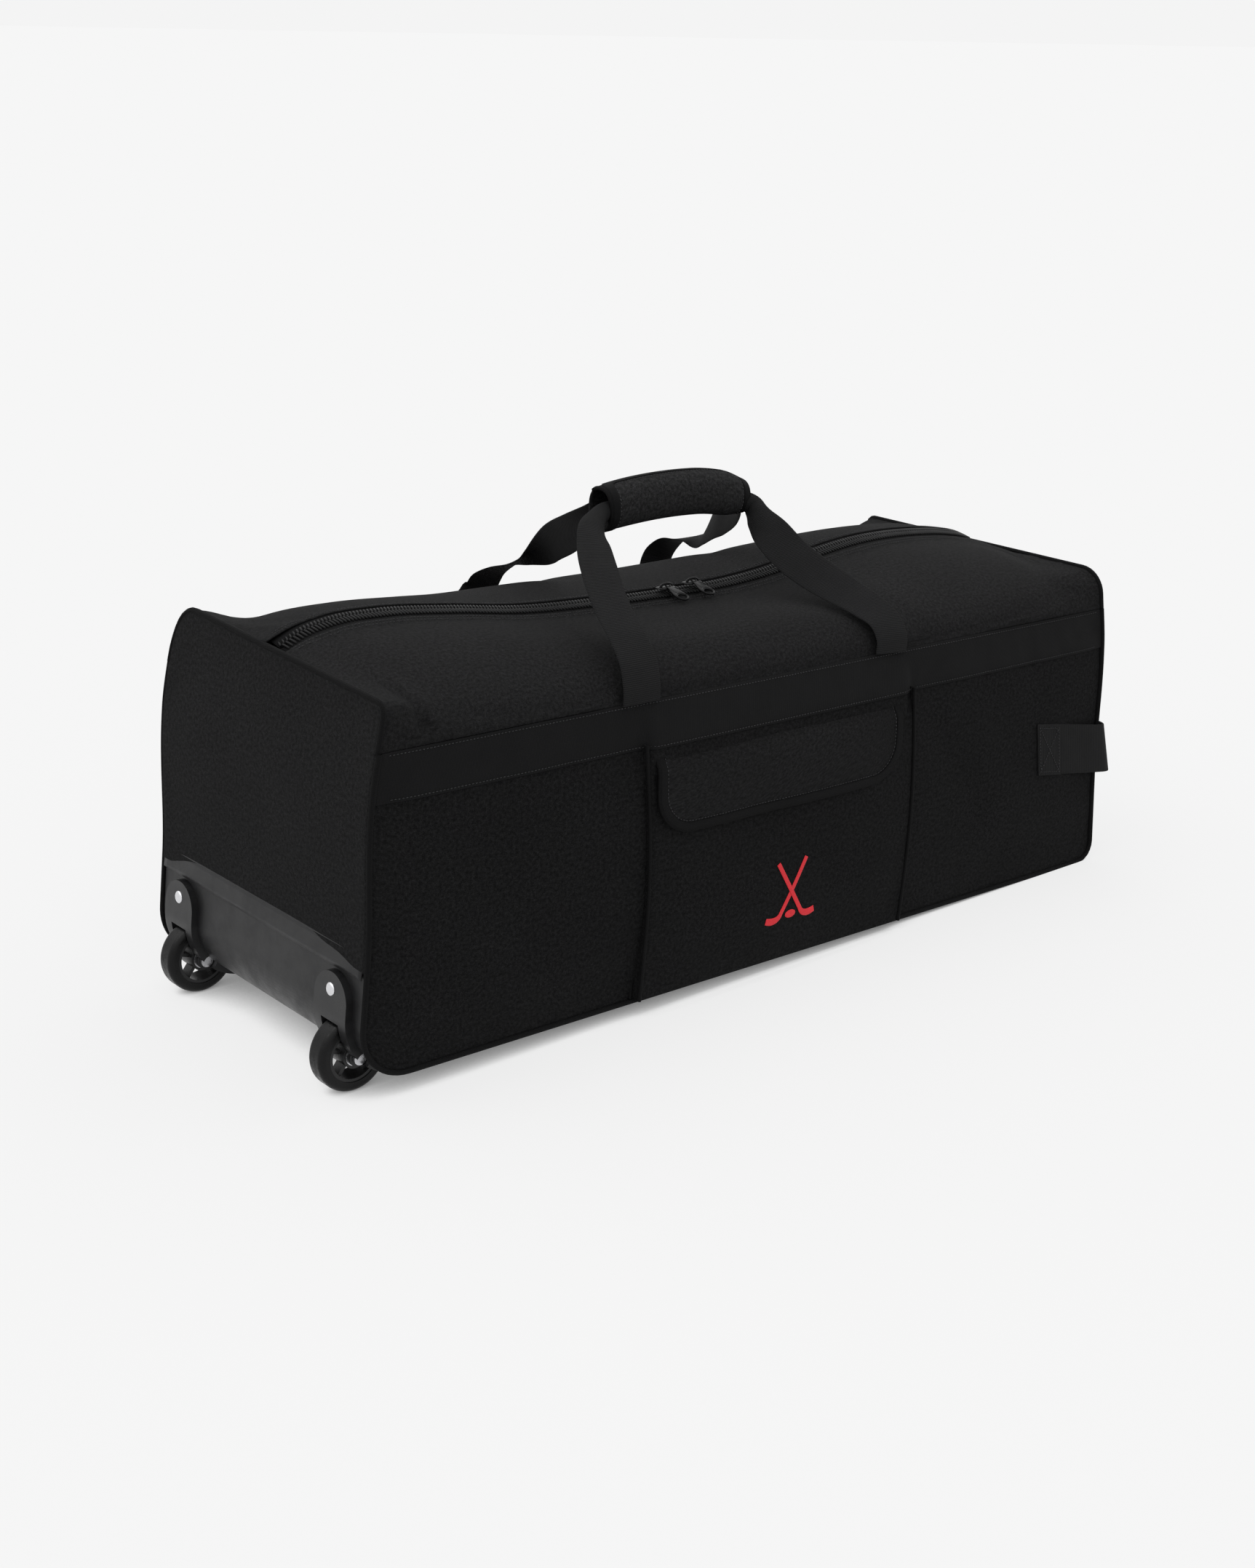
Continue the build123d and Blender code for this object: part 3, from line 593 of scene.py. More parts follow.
MATERIAL = {
    "polyester": woven("polyester", (0.0076, 0.0076, 0.0078), 0.00055),
    # A lighter copy of the same black polyester, used on the top, the ends and the flap: its extra lightness is
    # painted light.
    "polyester_painted_lighter": woven("polyester_painted_lighter", (0.0090, 0.0090, 0.0093), 0.00055, specular=0.09),
    "padding": woven("padding", (0.0185, 0.0185, 0.0189), 0.00045),
    "webbing": ribbed("webbing", (0.0098, 0.0098, 0.0101), 0.0021, contrast=0.4),
    # The zip tape is black, and is coloured darker than the cloth so that it reads as painted shadow lines along the
    # hems on both sides of the lighter coil.
    "zip_tape": ribbed("zip_tape", (0.0045, 0.0045, 0.0047), 0.0016, depth=0.0002, contrast=0.4),
    "band": ribbed("band", (0.0045, 0.0045, 0.0047), 0.0017, depth=0.00012, contrast=0.12),
    "binding": ribbed("binding", (0.0034, 0.0034, 0.0036), 0.0011, depth=0.00015),
    # The thread's grey, much lighter than the cloth, is painted sheen on the stitches.
    "thread": ribbed("thread", (0.060, 0.060, 0.062), 0.0008, depth=0.0001),
    "zip_coil": moulded("zip_coil", (0.0070, 0.0070, 0.0073), 0.50, specular=0.13),
    "kick_plate": moulded("kick_plate", (0.0080, 0.0080, 0.0085), 0.42, specular=0.25),
    "housing": moulded("housing", (0.0080, 0.0080, 0.0084), 0.36, specular=0.30),
    "board": moulded("board", (0.02, 0.02, 0.02), 0.6, grain=600.0),
    "hub": moulded("hub", (0.0060, 0.0060, 0.0063), 0.34, specular=0.32),
    "tyre": rubber("tyre", (0.0026, 0.0026, 0.0027)),
    "steel": metal("steel", (0.55, 0.55, 0.57), 0.28),
    "rivet": metal("rivet", (0.72, 0.72, 0.74), 0.16),
    "slider": moulded("slider", (0.0040, 0.0040, 0.0042), 0.30, specular=0.10),
    "hook_tape": hooked("hook_tape", (0.006, 0.006, 0.0065)),
    "mark": print_ink("mark", (0.52, 0.012, 0.020)),
}


def finish_piece(piece, body, *nodes):
    """Rides a piece on its body, in the place of CAD nodes."""
    if nodes:
        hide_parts(*nodes)
    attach(piece, body)


# The walls

def round_corners(x, z):
    """Draws the square lower corners of a side in to round ones."""
    for side, radius in ((-1, WHEEL_CORNER), (1, FAR_CORNER)):
        a = np.clip((side * x - (HALF_BASE - radius)) / radius, 0, 1)
        b = np.clip((radius - z) / radius, 0, 1)
        x = np.where((a > 0) & (b > 0), side * (HALF_BASE - radius + radius * a * np.sqrt(1 - b * b / 2)), x)
        z = np.where((a > 0) & (b > 0), radius - radius * b * np.sqrt(1 - a * a / 2), z)
    return x, z


def pocket_push(x, z):
    """How far the pocket under the band pushes the band and the cloth out."""
    edge = 0.010
    inside = smooth((x - POCKET_LOW.x) / edge) * smooth((POCKET_HIGH.x - x) / edge)
    return 0.0075 * inside * smooth((FOLD - z) / (FOLD - BAND_FOOT)) * smooth((z - 0.24) / 0.02)


def side_y(x, z, side, seed):
    """How far a side stands out from its seams: a full, soft wall with faint hollows."""
    reach = np.clip(np.abs(x) / (end_x(z) - 0.004), 0, 1)
    up = np.clip(z / FOLD, 0, 1)
    full = (1 - reach**6) * (1 - np.abs(2 * up - 1) ** 3.5)
    hollow = sum(depth * valley(x, z, start, end, width)
                 for at, start, end, depth, width in DENTS if at == side)
    return full * (0.0054 + 0.0014 * waves(x, z, seed, 0.34) - hollow)


def side_panel(name, side, seed):
    columns, rows = 181, 57
    u, v = np.meshgrid(np.linspace(-1, 1, columns), np.linspace(0, 1, rows))
    x, z = round_corners(u * HALF_BASE, v * FOLD)
    x = x * end_x(z) / HALF_BASE
    y = HALF_WIDTH + side_y(x, z, side, seed)
    if side < 0:
        y += pocket_push(x, z)
    points = points_at(x, side * y, z)
    piece = panel(name, points, "polyester", flip=side > 0)
    settle(piece, edges_of((rows, columns)), 0.5, 0.004, slack=0.002)
    refine(thicken(piece, CLOTH))
    return piece


def end_panel(name, end, foot, seed):
    """The cloth of one end, a padded flat panel with round shoulders."""
    columns, rows = 61, 45
    u, v = np.meshgrid(np.linspace(-1, 1, columns), np.linspace(0, 1, rows))
    a, b = np.abs(u), v
    radius = np.where(u < 0, SHOULDERS[end, -1], SHOULDERS[end, 1])
    corner = radius / HALF_WIDTH
    tall = radius / (HEIGHT - foot)
    p = np.clip((a - (1 - corner)) / corner, 0, 1)
    q = np.clip((b - (1 - tall)) / tall, 0, 1)
    near = (p > 0) & (q > 0)
    a = np.where(near, 1 - corner + corner * p * np.sqrt(1 - q * q / 2), a)
    b = np.where(near, 1 - tall + tall * q * np.sqrt(1 - p * p / 2), b)
    y = np.sign(u) * a * HALF_WIDTH
    z = foot + b * (HEIGHT - foot)
    z = z + rise(end, y) * np.clip((z - FOLD) / (HEIGHT - FOLD), 0, 1)
    full = (1 - np.abs(u) ** 6) * (1 - np.abs(2 * v - 1) ** 5)
    x = end * (end_x(z) + full * (0.0045 + 0.0013 * waves(y, z, seed, 0.25)))
    points = points_at(x, y, z)
    piece = panel(name, points, "polyester_painted_lighter", flip=end > 0)
    settle(piece, edges_of((rows, columns)), 0.5, 0.004)
    refine(thicken(piece, 2 * CLOTH))
    return piece


def base_panel():
    """The base, and at the far end the round corner up to the end panel."""
    stations = 60
    turn = np.linspace(0, math.pi / 2, 9)
    centre = HALF_BASE - FAR_CORNER
    flat_x = np.linspace(KICK_REACH - 0.01, centre, stations)
    x = np.concatenate([flat_x, centre + FAR_CORNER * np.sin(turn[1:])])
    z = np.concatenate([np.zeros(stations), FAR_CORNER * (1 - np.cos(turn[1:]))])
    x = np.where(x > centre, centre + (x - centre) * (end_x(z) - centre) / FAR_CORNER, x)
    y = np.linspace(-HALF_WIDTH, HALF_WIDTH, 41)
    points = points_at(x[:, None], y[None], z[:, None])
    piece = panel("base_cloth", points, "polyester", flip=True)
    return thicken(piece, 2 * CLOTH)


def walls():
    """The four walls and the base. Gives back the cloth of the two sides."""
    sides = {}
    for (label, side), seed in zip(SIDES, (3, 8)):
        sides[label] = side_panel(f"{label}_cloth", side, seed)
        finish_piece(sides[label], "shell", f"{label}_panel")
    for label, end, foot, seed in (("wheel_end", -1, KICK_TOP - 0.006, 5), ("far_end", 1, FAR_CORNER, 6)):
        cloth = end_panel(f"{label}_cloth", end, foot, seed)
        finish_piece(cloth, "shell", f"{label}_panel")
    finish_piece(base_panel(), "shell", "base_panel")
    return sides

# Seam piping

def side_ring(y):
    """The seam round one side, from the fold at the wheel end, under the base, to the fold at the far end."""
    down = np.linspace(FOLD, 0, 60)
    along = np.linspace(-1, 1, 90)
    flat = np.concatenate([points_at(-1.0, down), points_at(along[1:-1], 0.0),
                           points_at(1.0, down[::-1])])
    x, z = round_corners(flat[:, 0] * HALF_BASE, flat[:, 1])
    x = x * end_x(z) / HALF_BASE
    return points_at(x, y, z)


def end_arch(end):
    """The seam over the top of one end, from fold to fold."""
    turn = np.linspace(0, math.pi / 2, 9)
    halves = []
    for side in (-1, 1):
        radius = SHOULDERS[end, side]
        y = HALF_WIDTH - radius + radius * np.cos(turn)
        z = HEIGHT - radius + radius * np.sin(turn)
        climb = np.linspace(FOLD, z[0], 4)[:-1]
        half = np.concatenate([points_at(HALF_WIDTH, climb), points_at(y, z)])
        halves.append(half * (side, 1))
    across = np.linspace(halves[0][-1, 0], halves[1][-1, 0], 40)[1:-1]
    top = points_at(across, HEIGHT)
    whole = np.concatenate([halves[0], top, halves[1][::-1]])
    whole[:, 1] += rise(end, whole[:, 0]) * (whole[:, 1] - FOLD) / (HEIGHT - FOLD)
    x = end * (end_x(whole[:, 1]) + 0.001)
    return points_at(x, whole[:, 0], whole[:, 1])


def piping():
    """Round cords over the seams of the sides and over the tops of the ends."""
    seams = [(label, side_ring(side * (HALF_WIDTH + 0.0012)), 0.006, (0, 1, 0)) for label, side in SIDES]
    seams += [(f"{label}_end", end_arch(end), 0.005, (1, 0, 0)) for label, end in ENDS]
    for label, path, spacing, across in seams:
        cord = sweep(f"piping_{label}_cord", resample(path, spacing), PIPING, across, "binding")
        finish_piece(cord, "shell", f"piping_{label}")

# Webbing bands

def band(label, side, wall):
    """Flat webbing sewn along a side under the fold, with a stitch line along each edge."""
    columns, rows = 221, 8
    toward = (0, side, 0)
    u, z = np.meshgrid(np.linspace(-1, 1, columns), np.linspace(BAND_FOOT, FOLD, rows))
    spots = points_at(u * (end_x(z) - PIPING), side * HALF_WIDTH, z)
    points = lay_on(surface_of(wall), spots.reshape(-1, 3), 0.0003, toward)[0].reshape(spots.shape)
    piece = mesh_piece(f"band_{label}_webbing", points, grid_faces(rows, columns), "band",
                       grid_uv(points)[..., ::-1])
    if side > 0:
        piece.data.flip_normals()
    thicken(piece, BAND_OUT, 1.0)
    ease(piece, 0.0004)
    finish_piece(piece, "shell", f"band_{label}")
    reach = HALF_TOP - 0.004
    lines = [points_at(np.linspace(-reach, reach, 180), side * HALF_WIDTH, level)
             for level in (BAND_FOOT + BAND_STITCH, FOLD - BAND_STITCH)]
    stitched(f"band_{label}_stitches", piece, lines, toward)

# The two halves of the top

HEM = [(0.0008, -0.0007), (0.0005, -0.0018), (-0.0022, -0.0024)]


def end_section(v, radius):
    """The seam over an end, from the fold up, round its shoulder and level to the zip: how far out and how high."""
    up = np.clip(v / 0.3, 0, 1)
    turn = np.clip((v - 0.3) / 0.14, 0, 1) * math.pi / 2
    across = np.clip((v - 0.44) / 0.56, 0, 1)
    out = HALF_WIDTH - radius * (1 - np.cos(turn)) - (HALF_WIDTH - radius - ZIP_HALF) * across
    return out, FOLD + (HEIGHT - FOLD - radius) * up + radius * np.sin(turn)


def top_point(u, v, side):
    """One half of the top. u runs along the bag, v from the fold over the shoulder to the zip."""
    x = u * SEAM_X
    turn = v * math.pi / 2
    out = ZIP_HALF + (HALF_WIDTH - ZIP_HALF) * np.cos(turn) ** 0.78
    hem = ridge(x) + side * ZIP_HALF * ZIP_TILT
    z = FOLD + (mix(CREST, hem, smooth((v - 0.35) / 0.65)) - FOLD) * np.sin(turn) ** 0.82
    end_out, end_z = end_section(v, np.where(u < 0, SHOULDERS[-1, side], SHOULDERS[1, side]))
    end_z = end_z + rise(u, side * end_out) * (end_z - FOLD) / (HEIGHT - FOLD)
    end_z = mix(end_z, hem, smooth((v - 0.6) / 0.4))
    inner = smooth((1 - np.abs(u)) / 0.13)
    out = mix(end_out, out, inner)
    z = mix(end_z, z, inner)
    swell = np.sin(np.pi * v) ** 1.5 * smooth((1 - np.abs(u)) / 0.12) * 0.0020 * waves(x, side * out, 12, 0.22)
    crease = sum(depth * np.exp(-((x - place - slant * v) / width) ** 2) * smooth(v / 0.15) * smooth((reach - v) / 0.3)
                 for at, place, slant, reach, depth, width in CREASES if at == side)
    out = out + (swell - crease) * np.cos(turn)
    z = z + (swell - crease) * np.sin(turn)
    x = u * mix(end_x(z) + 0.001, SEAM_X, smooth((1 - np.abs(u)) / 0.10))
    return points_at(x, side * out, z)


def top_half(name, side):
    """One half of the top, with the hem folded under along the zip."""
    columns, rows = 201, 37
    u, v = np.meshgrid(np.linspace(-1, 1, columns), np.linspace(0, 1, rows))
    points = top_point(u, v, side)
    edge = points[-1:]
    hem = [edge + (0, -side * inward, drop) for inward, drop in HEM]
    points = np.concatenate([points, *hem])
    piece = panel(name, points, "polyester_painted_lighter", flip=side > 0)
    pinned = edges_of((rows + len(HEM), columns)).reshape(rows + len(HEM), columns)
    pinned[rows - 1:] = True
    settle(piece, pinned.ravel(), 0.2, 0.003, gravity=0.3, slack=0.002)
    return piece, points.shape[:2]


def split_ends(piece, shape, body, side):
    """Cuts a half of the top at its middle into two parts, one for each end of the zip."""
    rows, columns = shape
    middle = columns // 2
    to_bag = BAG.to_3x3().inverted()
    points = np.array([TO_BAG @ vertex.co for vertex in piece.data.vertices]).reshape(rows, columns, 3)
    normals = np.array([vertex.normal for vertex in piece.data.vertices]).reshape(rows, columns, 3)
    outward = np.array([to_bag @ vertex.normal for vertex in piece.data.vertices]).reshape(rows, columns, 3)
    flat = grid_uv(points)
    outside = grid_faces(rows, middle + 1)
    count = rows * (middle + 1)
    faces = outside + [tuple(count + i for i in face[::-1]) for face in outside]
    if side > 0:
        faces = [face[::-1] for face in faces]
    for label, end in ENDS:
        part = slice(0, middle + 1) if end < 0 else slice(middle, columns)
        both = np.concatenate([sheet[:, part].reshape(-1, 3) for sheet in (points, points - outward * CLOTH)])
        half = mesh_piece(f"{body}_cloth_{label}", both, faces, "polyester_painted_lighter",
                          np.concatenate([flat[:, part].reshape(-1, 2)] * 2))
        turned = normals[:, part].reshape(-1, 3)
        half.data.normals_split_custom_set_from_vertices(np.concatenate([turned, -turned]).tolist())
        if end < 0:
            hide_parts(f"{body}_panel")
        bend_to_end(half)
    bpy.data.objects.remove(piece)

def bend_to_end(piece):
    """Bakes a piece's placement into its mesh."""
    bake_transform(piece)


def fold_tape(label, side):
    """Binding inside the fold, which closes the seam when the top is folded open."""
    x = np.linspace(-HALF_TOP + 0.004, HALF_TOP - 0.004, 90)
    inset = np.array([0.0030, 0.0040, 0.0036])[:, None]
    lift = np.array([0.006, 0.0, -0.014])[:, None]
    points = points_at(x, side * (HALF_WIDTH - inset), FOLD + lift)
    strip = panel(f"fold_tape_{label}", points, "binding", flip=side > 0)
    thicken(strip, 0.0012, 0.0)
    finish_piece(strip, "shell")

def tops():
    for label, side in SIDES:
        body = f"top_{label}"
        piece, shape = top_half(f"{body}_cloth", side)
        surface = surface_of(piece)
        split_ends(piece, shape, body, side)
        topstitch(body, side, surface)

def topstitch(body, side, surface):
    """Two stitch lines beside the zip, which hold the hem and the tape."""
    for label, end in ENDS:
        x = np.linspace(0.004, SEAM_X - 0.006, 90) * end
        paths = [points_at(x, side * (ZIP_HALF + off), ridge(x)) for off in (0.0032, 0.0095)]
        lines = [lay_on(surface, resample(path, 0.008), STITCH_LIFT, (0, 0, 1)) for path in paths]
        bend_to_end(stitches(f"{body}_stitches_{label}", lines))

# The zip

TOOTH_PITCH = 0.0042
TOOTH_REACH = 0.0047
TOOTH_RADIUS = 0.00130
TOOTH_SLANT = 0.5
TAPE_EDGE = 0.0205


def zip_half(label, side):
    """Tape with a woven edge and a row of coiled teeth, in two parts, one for each end of the zip."""
    count = int(SEAM_X / TOOTH_PITCH)
    y = np.array([0.0006, 0.0060, 0.0125, TAPE_EDGE]) * side
    for place, end in ENDS:
        x = np.linspace(0, end * SEAM_X, 120)[:, None]
        points = points_at(x, y, ridge(x) - 0.0018 + y * ZIP_TILT)
        ribbon = mesh_piece(f"zip_tape_{label}_{place}", points, grid_faces(120, 4), "zip_tape", grid_uv(points))
        if side * end > 0:
            ribbon.data.flip_normals()
        thicken(ribbon, 0.0006)
        centres = (np.arange(count) + (0.25 if side < 0 else 0.75)) * TOOTH_PITCH * end
        teeth = coil(f"zip_teeth_{label}_{place}", centres, side)
        for piece, replaced in ((ribbon, f"zip_tape_{label}"), (teeth, f"zip_chain_{label}")):
            if end < 0:
                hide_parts(replaced)
            bend_to_end(piece)

def coil(name, centres, side):
    """One turn of the coil for each tooth: a slanted round bar that rises over the middle of the zip."""
    turn = np.arange(6) * math.pi / 3
    stations = np.array([-1.0, -0.8, 0.0, 0.8, 1.0])
    girth = np.array([0.4, 1.0, 1.0, 1.0, 0.5])
    lifts = np.array([0.0002, 0.0005, 0.0004, -0.0001, -0.0008])
    points = []
    faces = []
    heights = ridge(centres)
    for centre, height in zip(centres, heights):
        first = len(points)
        for station, size, lift in zip(stations, girth, lifts):
            middle = (centre + TOOTH_SLANT * TOOTH_REACH * station * 0.6,
                      side * (TOOTH_REACH * (1 + station) - 0.0004),
                      height + lift + side * TOOTH_REACH * (1 + station) * ZIP_TILT)
            for angle in turn:
                points.append(np.array(middle) + (TOOTH_RADIUS * size * math.cos(angle), 0,
                                                  TOOTH_RADIUS * size * math.sin(angle)))
        faces += [tuple(first + i for i in face) for face in grid_faces(5, 6, around=True)]
        faces += [tuple(first + i for i in range(6))[::-1], tuple(first + 24 + i for i in range(6))]
    return mesh_piece(name, points, faces, "zip_coil")


# Sliders and their pulls

def slider(label):
    """A cast slider: two shields that meet in a neck, and a bridge over them that the pull hangs from."""
    low, high = cad(f"slider_{label}")
    middle = (low + high) / 2
    steps = 28
    turn = np.linspace(0, 2 * math.pi, steps, endpoint=False)
    waist = 0.0086 + 0.0016 * np.cos(2 * turn) - 0.0008 * np.cos(turn)
    x = 0.0125 * np.cos(turn)
    y = np.sign(np.sin(turn)) * np.abs(np.sin(turn)) ** 0.7 * waist
    levels = [(0.86, 0.0), (1.0, 0.0006), (1.0, 0.0016), (0.84, 0.0024), (0.3, 0.0029)]
    rings = np.array([points_at(x * size, y * size, lift) for size, lift in levels])
    rings += (middle.x, 0, high.z - 0.0058)
    faces = grid_faces(len(levels), steps, around=True)
    faces += [tuple(range(steps))[::-1], tuple((len(levels) - 1) * steps + i for i in range(steps))]
    shield = mesh_piece(f"slider_shield_{label}", rings, faces, "slider")
    refine(shield)
    finish_piece(shield, f"slider_{label}", f"slider_{label}")
    arch = np.linspace(0, math.pi, 15)
    path = points_at(middle.x + 0.0085 * np.cos(arch), 0.0, high.z - 0.0044 + 0.0046 * np.sin(arch) ** 0.8)
    bridge = sweep(f"slider_bridge_{label}", path, 0.0016, (0, 1, 0), "slider")
    finish_piece(bridge, f"slider_{label}")


PULL_LENGTH = 0.0375
PULL_TIP = 0.0084
PULL_NECK = 0.0044
PULL_RIM = 0.84 * PULL_TIP


def pull(label):
    """A cast pull: an eye round the bridge and a plate that widens to an oval ring."""
    pivot = pivot_of(f"pull_{label}_flip")
    low, _ = cad(f"pull_{label}")
    droop = math.atan2(pivot.z - low.z - 0.0012, pivot.y - low.y)
    forward = Vector((0, -math.cos(droop), -math.sin(droop)))
    out = Vector((0, -math.sin(droop), math.cos(droop)))

    def spot(along, across, lift=0.0):
        return pivot + forward * along + Vector((across, 0, 0)) + out * lift

    steps = 40
    turn = np.linspace(0, 2 * math.pi, steps, endpoint=False)
    tip = PULL_LENGTH - PULL_TIP
    along = np.where(np.cos(turn) > 0, tip + PULL_TIP * np.cos(turn), 0.004 + (tip - 0.004) * (1 + np.cos(turn)))
    widths = mix(PULL_NECK, PULL_TIP, smooth((along - 0.006) / (tip - 0.008)))
    across = np.where(np.cos(turn) > 0, PULL_TIP * np.sin(turn), widths * np.sign(np.sin(turn))
                      * np.minimum(1, np.abs(np.sin(turn)) * 3))
    hole_along = tip + 0.0006 + 0.0050 * np.cos(turn)
    hole_across = 0.0054 * np.sin(turn)
    rows = []
    for inset, lift in ((0.0, -0.0009), (0.0, 0.0009)):
        rows.append([spot(a, b, lift) for a, b in zip(along, across)])
        rows.append([spot(a, b, lift) for a, b in zip(hole_along, hole_across)])
    outer_low, hole_low, outer_high, hole_high = range(4)
    faces = []
    for one, two in ((outer_high, outer_low), (hole_low, hole_high), (outer_low, hole_low), (hole_high, outer_high)):
        faces += [(one * steps + i, two * steps + i, two * steps + (i + 1) % steps, one * steps + (i + 1) % steps)
                  for i in range(steps)]
    plate = mesh_piece(f"pull_plate_{label}", [point for row in rows for point in row], faces, "slider")
    ease(plate, 0.0005)
    finish_piece(plate, f"pull_{label}", f"pull_{label}")
    rim = [spot(tip + PULL_RIM * math.cos(t), PULL_RIM * math.sin(t), 0.0003) for t in turn]
    eye = [spot(0.0022 + 0.0034 * math.cos(t), 0.0032 * math.sin(t), 0.0004) for t in turn]
    for kind, path, radius in (("rim", rim, 0.0012), ("eye", eye, 0.00095)):
        finish_piece(sweep(f"pull_{kind}_{label}", path, radius, out, "slider", closed=True), f"pull_{label}")

# Handles

STRAP = 0.0016
# Each leg from its band to the grip: x, how far out, z, the direction across (x, outward, z) and half the width
LEGS = {
    ("front", "left"): [
        (-0.216, 0.2052, 0.3345, 1, 0, 0, 0.025), (-0.216, 0.2045, 0.354, 1, 0, 0, 0.025),
        (-0.215, 0.196, 0.378, 1, 0, 0, 0.025), (-0.214, 0.176, 0.4, 1, 0, -0.02, 0.025),
        (-0.21, 0.15, 0.419, 1, 0, -0.05, 0.025), (-0.202, 0.123, 0.439, 1, 0, -0.1, 0.025),
        (-0.188, 0.093, 0.46, 1, 0.05, -0.2, 0.0248), (-0.168, 0.062, 0.478, 0.9, 0.15, -0.45, 0.0215),
        (-0.143, 0.034, 0.4845, 0.6, 0.2, -0.85, 0.015), (-0.119, 0.015, 0.4895, 0.25, 0.1, -1, 0.0115),
        (-0.09, 0.008, 0.491, 0, 0, -1, 0.011)],
    ("front", "right"): [
        (0.152, 0.2052, 0.3345, 1, 0, 0, 0.025), (0.153, 0.204, 0.353, 1, 0, 0, 0.025),
        (0.15, 0.192, 0.372, 1, 0.05, 0, 0.025), (0.14, 0.172, 0.386, 0.95, 0.25, 0.05, 0.025),
        (0.127, 0.146, 0.399, 0.9, 0.35, 0.1, 0.025), (0.112, 0.117, 0.414, 0.88, 0.35, 0.2, 0.025),
        (0.1, 0.088, 0.432, 0.85, 0.2, 0.4, 0.0245), (0.096, 0.06, 0.451, 0.75, 0, 0.65, 0.0225),
        (0.1, 0.034, 0.464, 0.6, -0.1, 0.8, 0.0165), (0.104, 0.015, 0.477, 0.35, 0, 0.9, 0.012),
        (0.08, 0.008, 0.487, 0, 0, 1, 0.011)],
    ("rear", "left"): [
        (-0.14, 0.2052, 0.337, 1, 0, 0, 0.025), (-0.129, 0.2085, 0.348, 1, 0, 0, 0.025),
        (-0.119, 0.209, 0.362, 1, 0, 0, 0.025), (-0.1145, 0.2, 0.379, 1, 0, 0, 0.026),
        (-0.108, 0.181, 0.3915, 1, 0, 0, 0.0245), (-0.096, 0.159, 0.3975, 0.85, 0.3, -0.25, 0.017),
        (-0.09, 0.138, 0.409, 0.5, 0.2, -0.75, 0.017), (-0.093, 0.107, 0.432, 0.15, 0, -1, 0.0225),
        (-0.098, 0.069, 0.45, 0.1, 0, -1, 0.0225), (-0.1005, 0.04, 0.467, 0.1, 0, -1, 0.0185),
        (-0.101, 0.018, 0.483, 0.1, 0, -1, 0.013), (-0.085, 0.008, 0.491, 0, 0, -1, 0.011)],
    ("rear", "right"): [
        (0.152, 0.2052, 0.3345, 1, 0, 0, 0.025), (0.15, 0.2085, 0.354, 1, 0, 0, 0.025),
        (0.159, 0.207, 0.374, 1, 0, 0, 0.026), (0.172, 0.1965, 0.388, 1, 0, 0, 0.027),
        (0.184, 0.176, 0.3945, 1, 0, 0.05, 0.0255), (0.185, 0.157, 0.3975, 0.8, 0.2, 0.35, 0.02),
        (0.172, 0.133, 0.414, 0.4, 0, 0.9, 0.021), (0.16, 0.105, 0.432, 0.25, 0, 1, 0.0235),
        (0.1541, 0.08, 0.4434, 0.25, 0, 1, 0.0235), (0.144, 0.05, 0.457, 0.25, 0, 1, 0.02),
        (0.128, 0.024, 0.47, 0.3, 0, 0.95, 0.014), (0.108, 0.012, 0.479, 0.1, 0, 1, 0.0115),
        (0.08, 0.008, 0.487, 0, 0, 1, 0.011)],
}


def handle_strap(label, hand):
    """A leg of webbing, which lies flat at its band and twists and folds towards the grip."""
    side = -1 if label == "front" else 1
    knots = np.array(LEGS[label, hand], float)
    at = np.linspace(0, 1, 90)
    path = curve_through(knots, at)
    place = path[:, :3] * (1, side, 1)
    across = path[:, 3:6] * (1, side, 1)
    half = path[:, 6]
    along = unit(np.gradient(place, axis=0))
    cross = unit(across - np.sum(across * along, -1, keepdims=True) * along)
    out = np.cross(along, cross)
    columns = np.linspace(-1, 1, 11)
    lead = np.sign(out[5, 1]) * side
    bow = smooth((0.0235 - half) / 0.010)[:, None] * 0.0065 + 0.0006
    crown = (1 - columns[None] ** 2) * bow * lead
    points = place[:, None] + cross[:, None] * (half[:, None] * columns)[..., None] + out[:, None] * crown[..., None]
    piece = mesh_piece(f"handle_strap_{label}_{hand}", points, grid_faces(len(place), 11), "webbing",
                       grid_uv(points))
    refine(thicken(piece, STRAP, 0.0))
    if hand == "left":
        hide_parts(f"handle_strap_{label}", f"strap_leads_{label}")
    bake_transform(piece)


# The grip: a padded sleeve round both straps, closed by a bound flap

GRIP_RINGS = 45
GRIP_TALL = 0.0215
GRIP_DEEP = 0.0185
GRIP_SKIN = 0.0032


def grip_place(x, degrees, lift=0.0):
    """A spot on the grip's outside and the way out from it, x along the bag and degrees from the rear over the top."""
    x, degrees = np.broadcast_arrays(np.asarray(x, float), np.asarray(degrees, float))
    t = (x - (GRIP_LOW.x + GRIP_HIGH.x) / 2) / ((GRIP_HIGH.x - GRIP_LOW.x) / 2)
    full = 1.0 + 0.05 * (1 - np.abs(np.clip(t, -1, 1)) ** 6) - 0.28 * smooth((t - 0.70) / 0.38)
    turn = np.radians(degrees)
    c, s = np.cos(turn), np.sin(turn)
    y = GRIP_DEEP * np.sign(c) * np.abs(c) ** 0.85 * full
    z = GRIP_TALL * np.sign(s) * np.abs(s) ** 0.85 * full
    out = unit(points_at(0.0, c * GRIP_TALL, s * GRIP_DEEP))
    centre = points_at(x, 0.0, 0.4905 + 0.0075 * (1 - t**2) - 0.0045 * smooth((t - 0.3) / 0.8))
    return centre + points_at(0.0, y, z) + out * lift, out


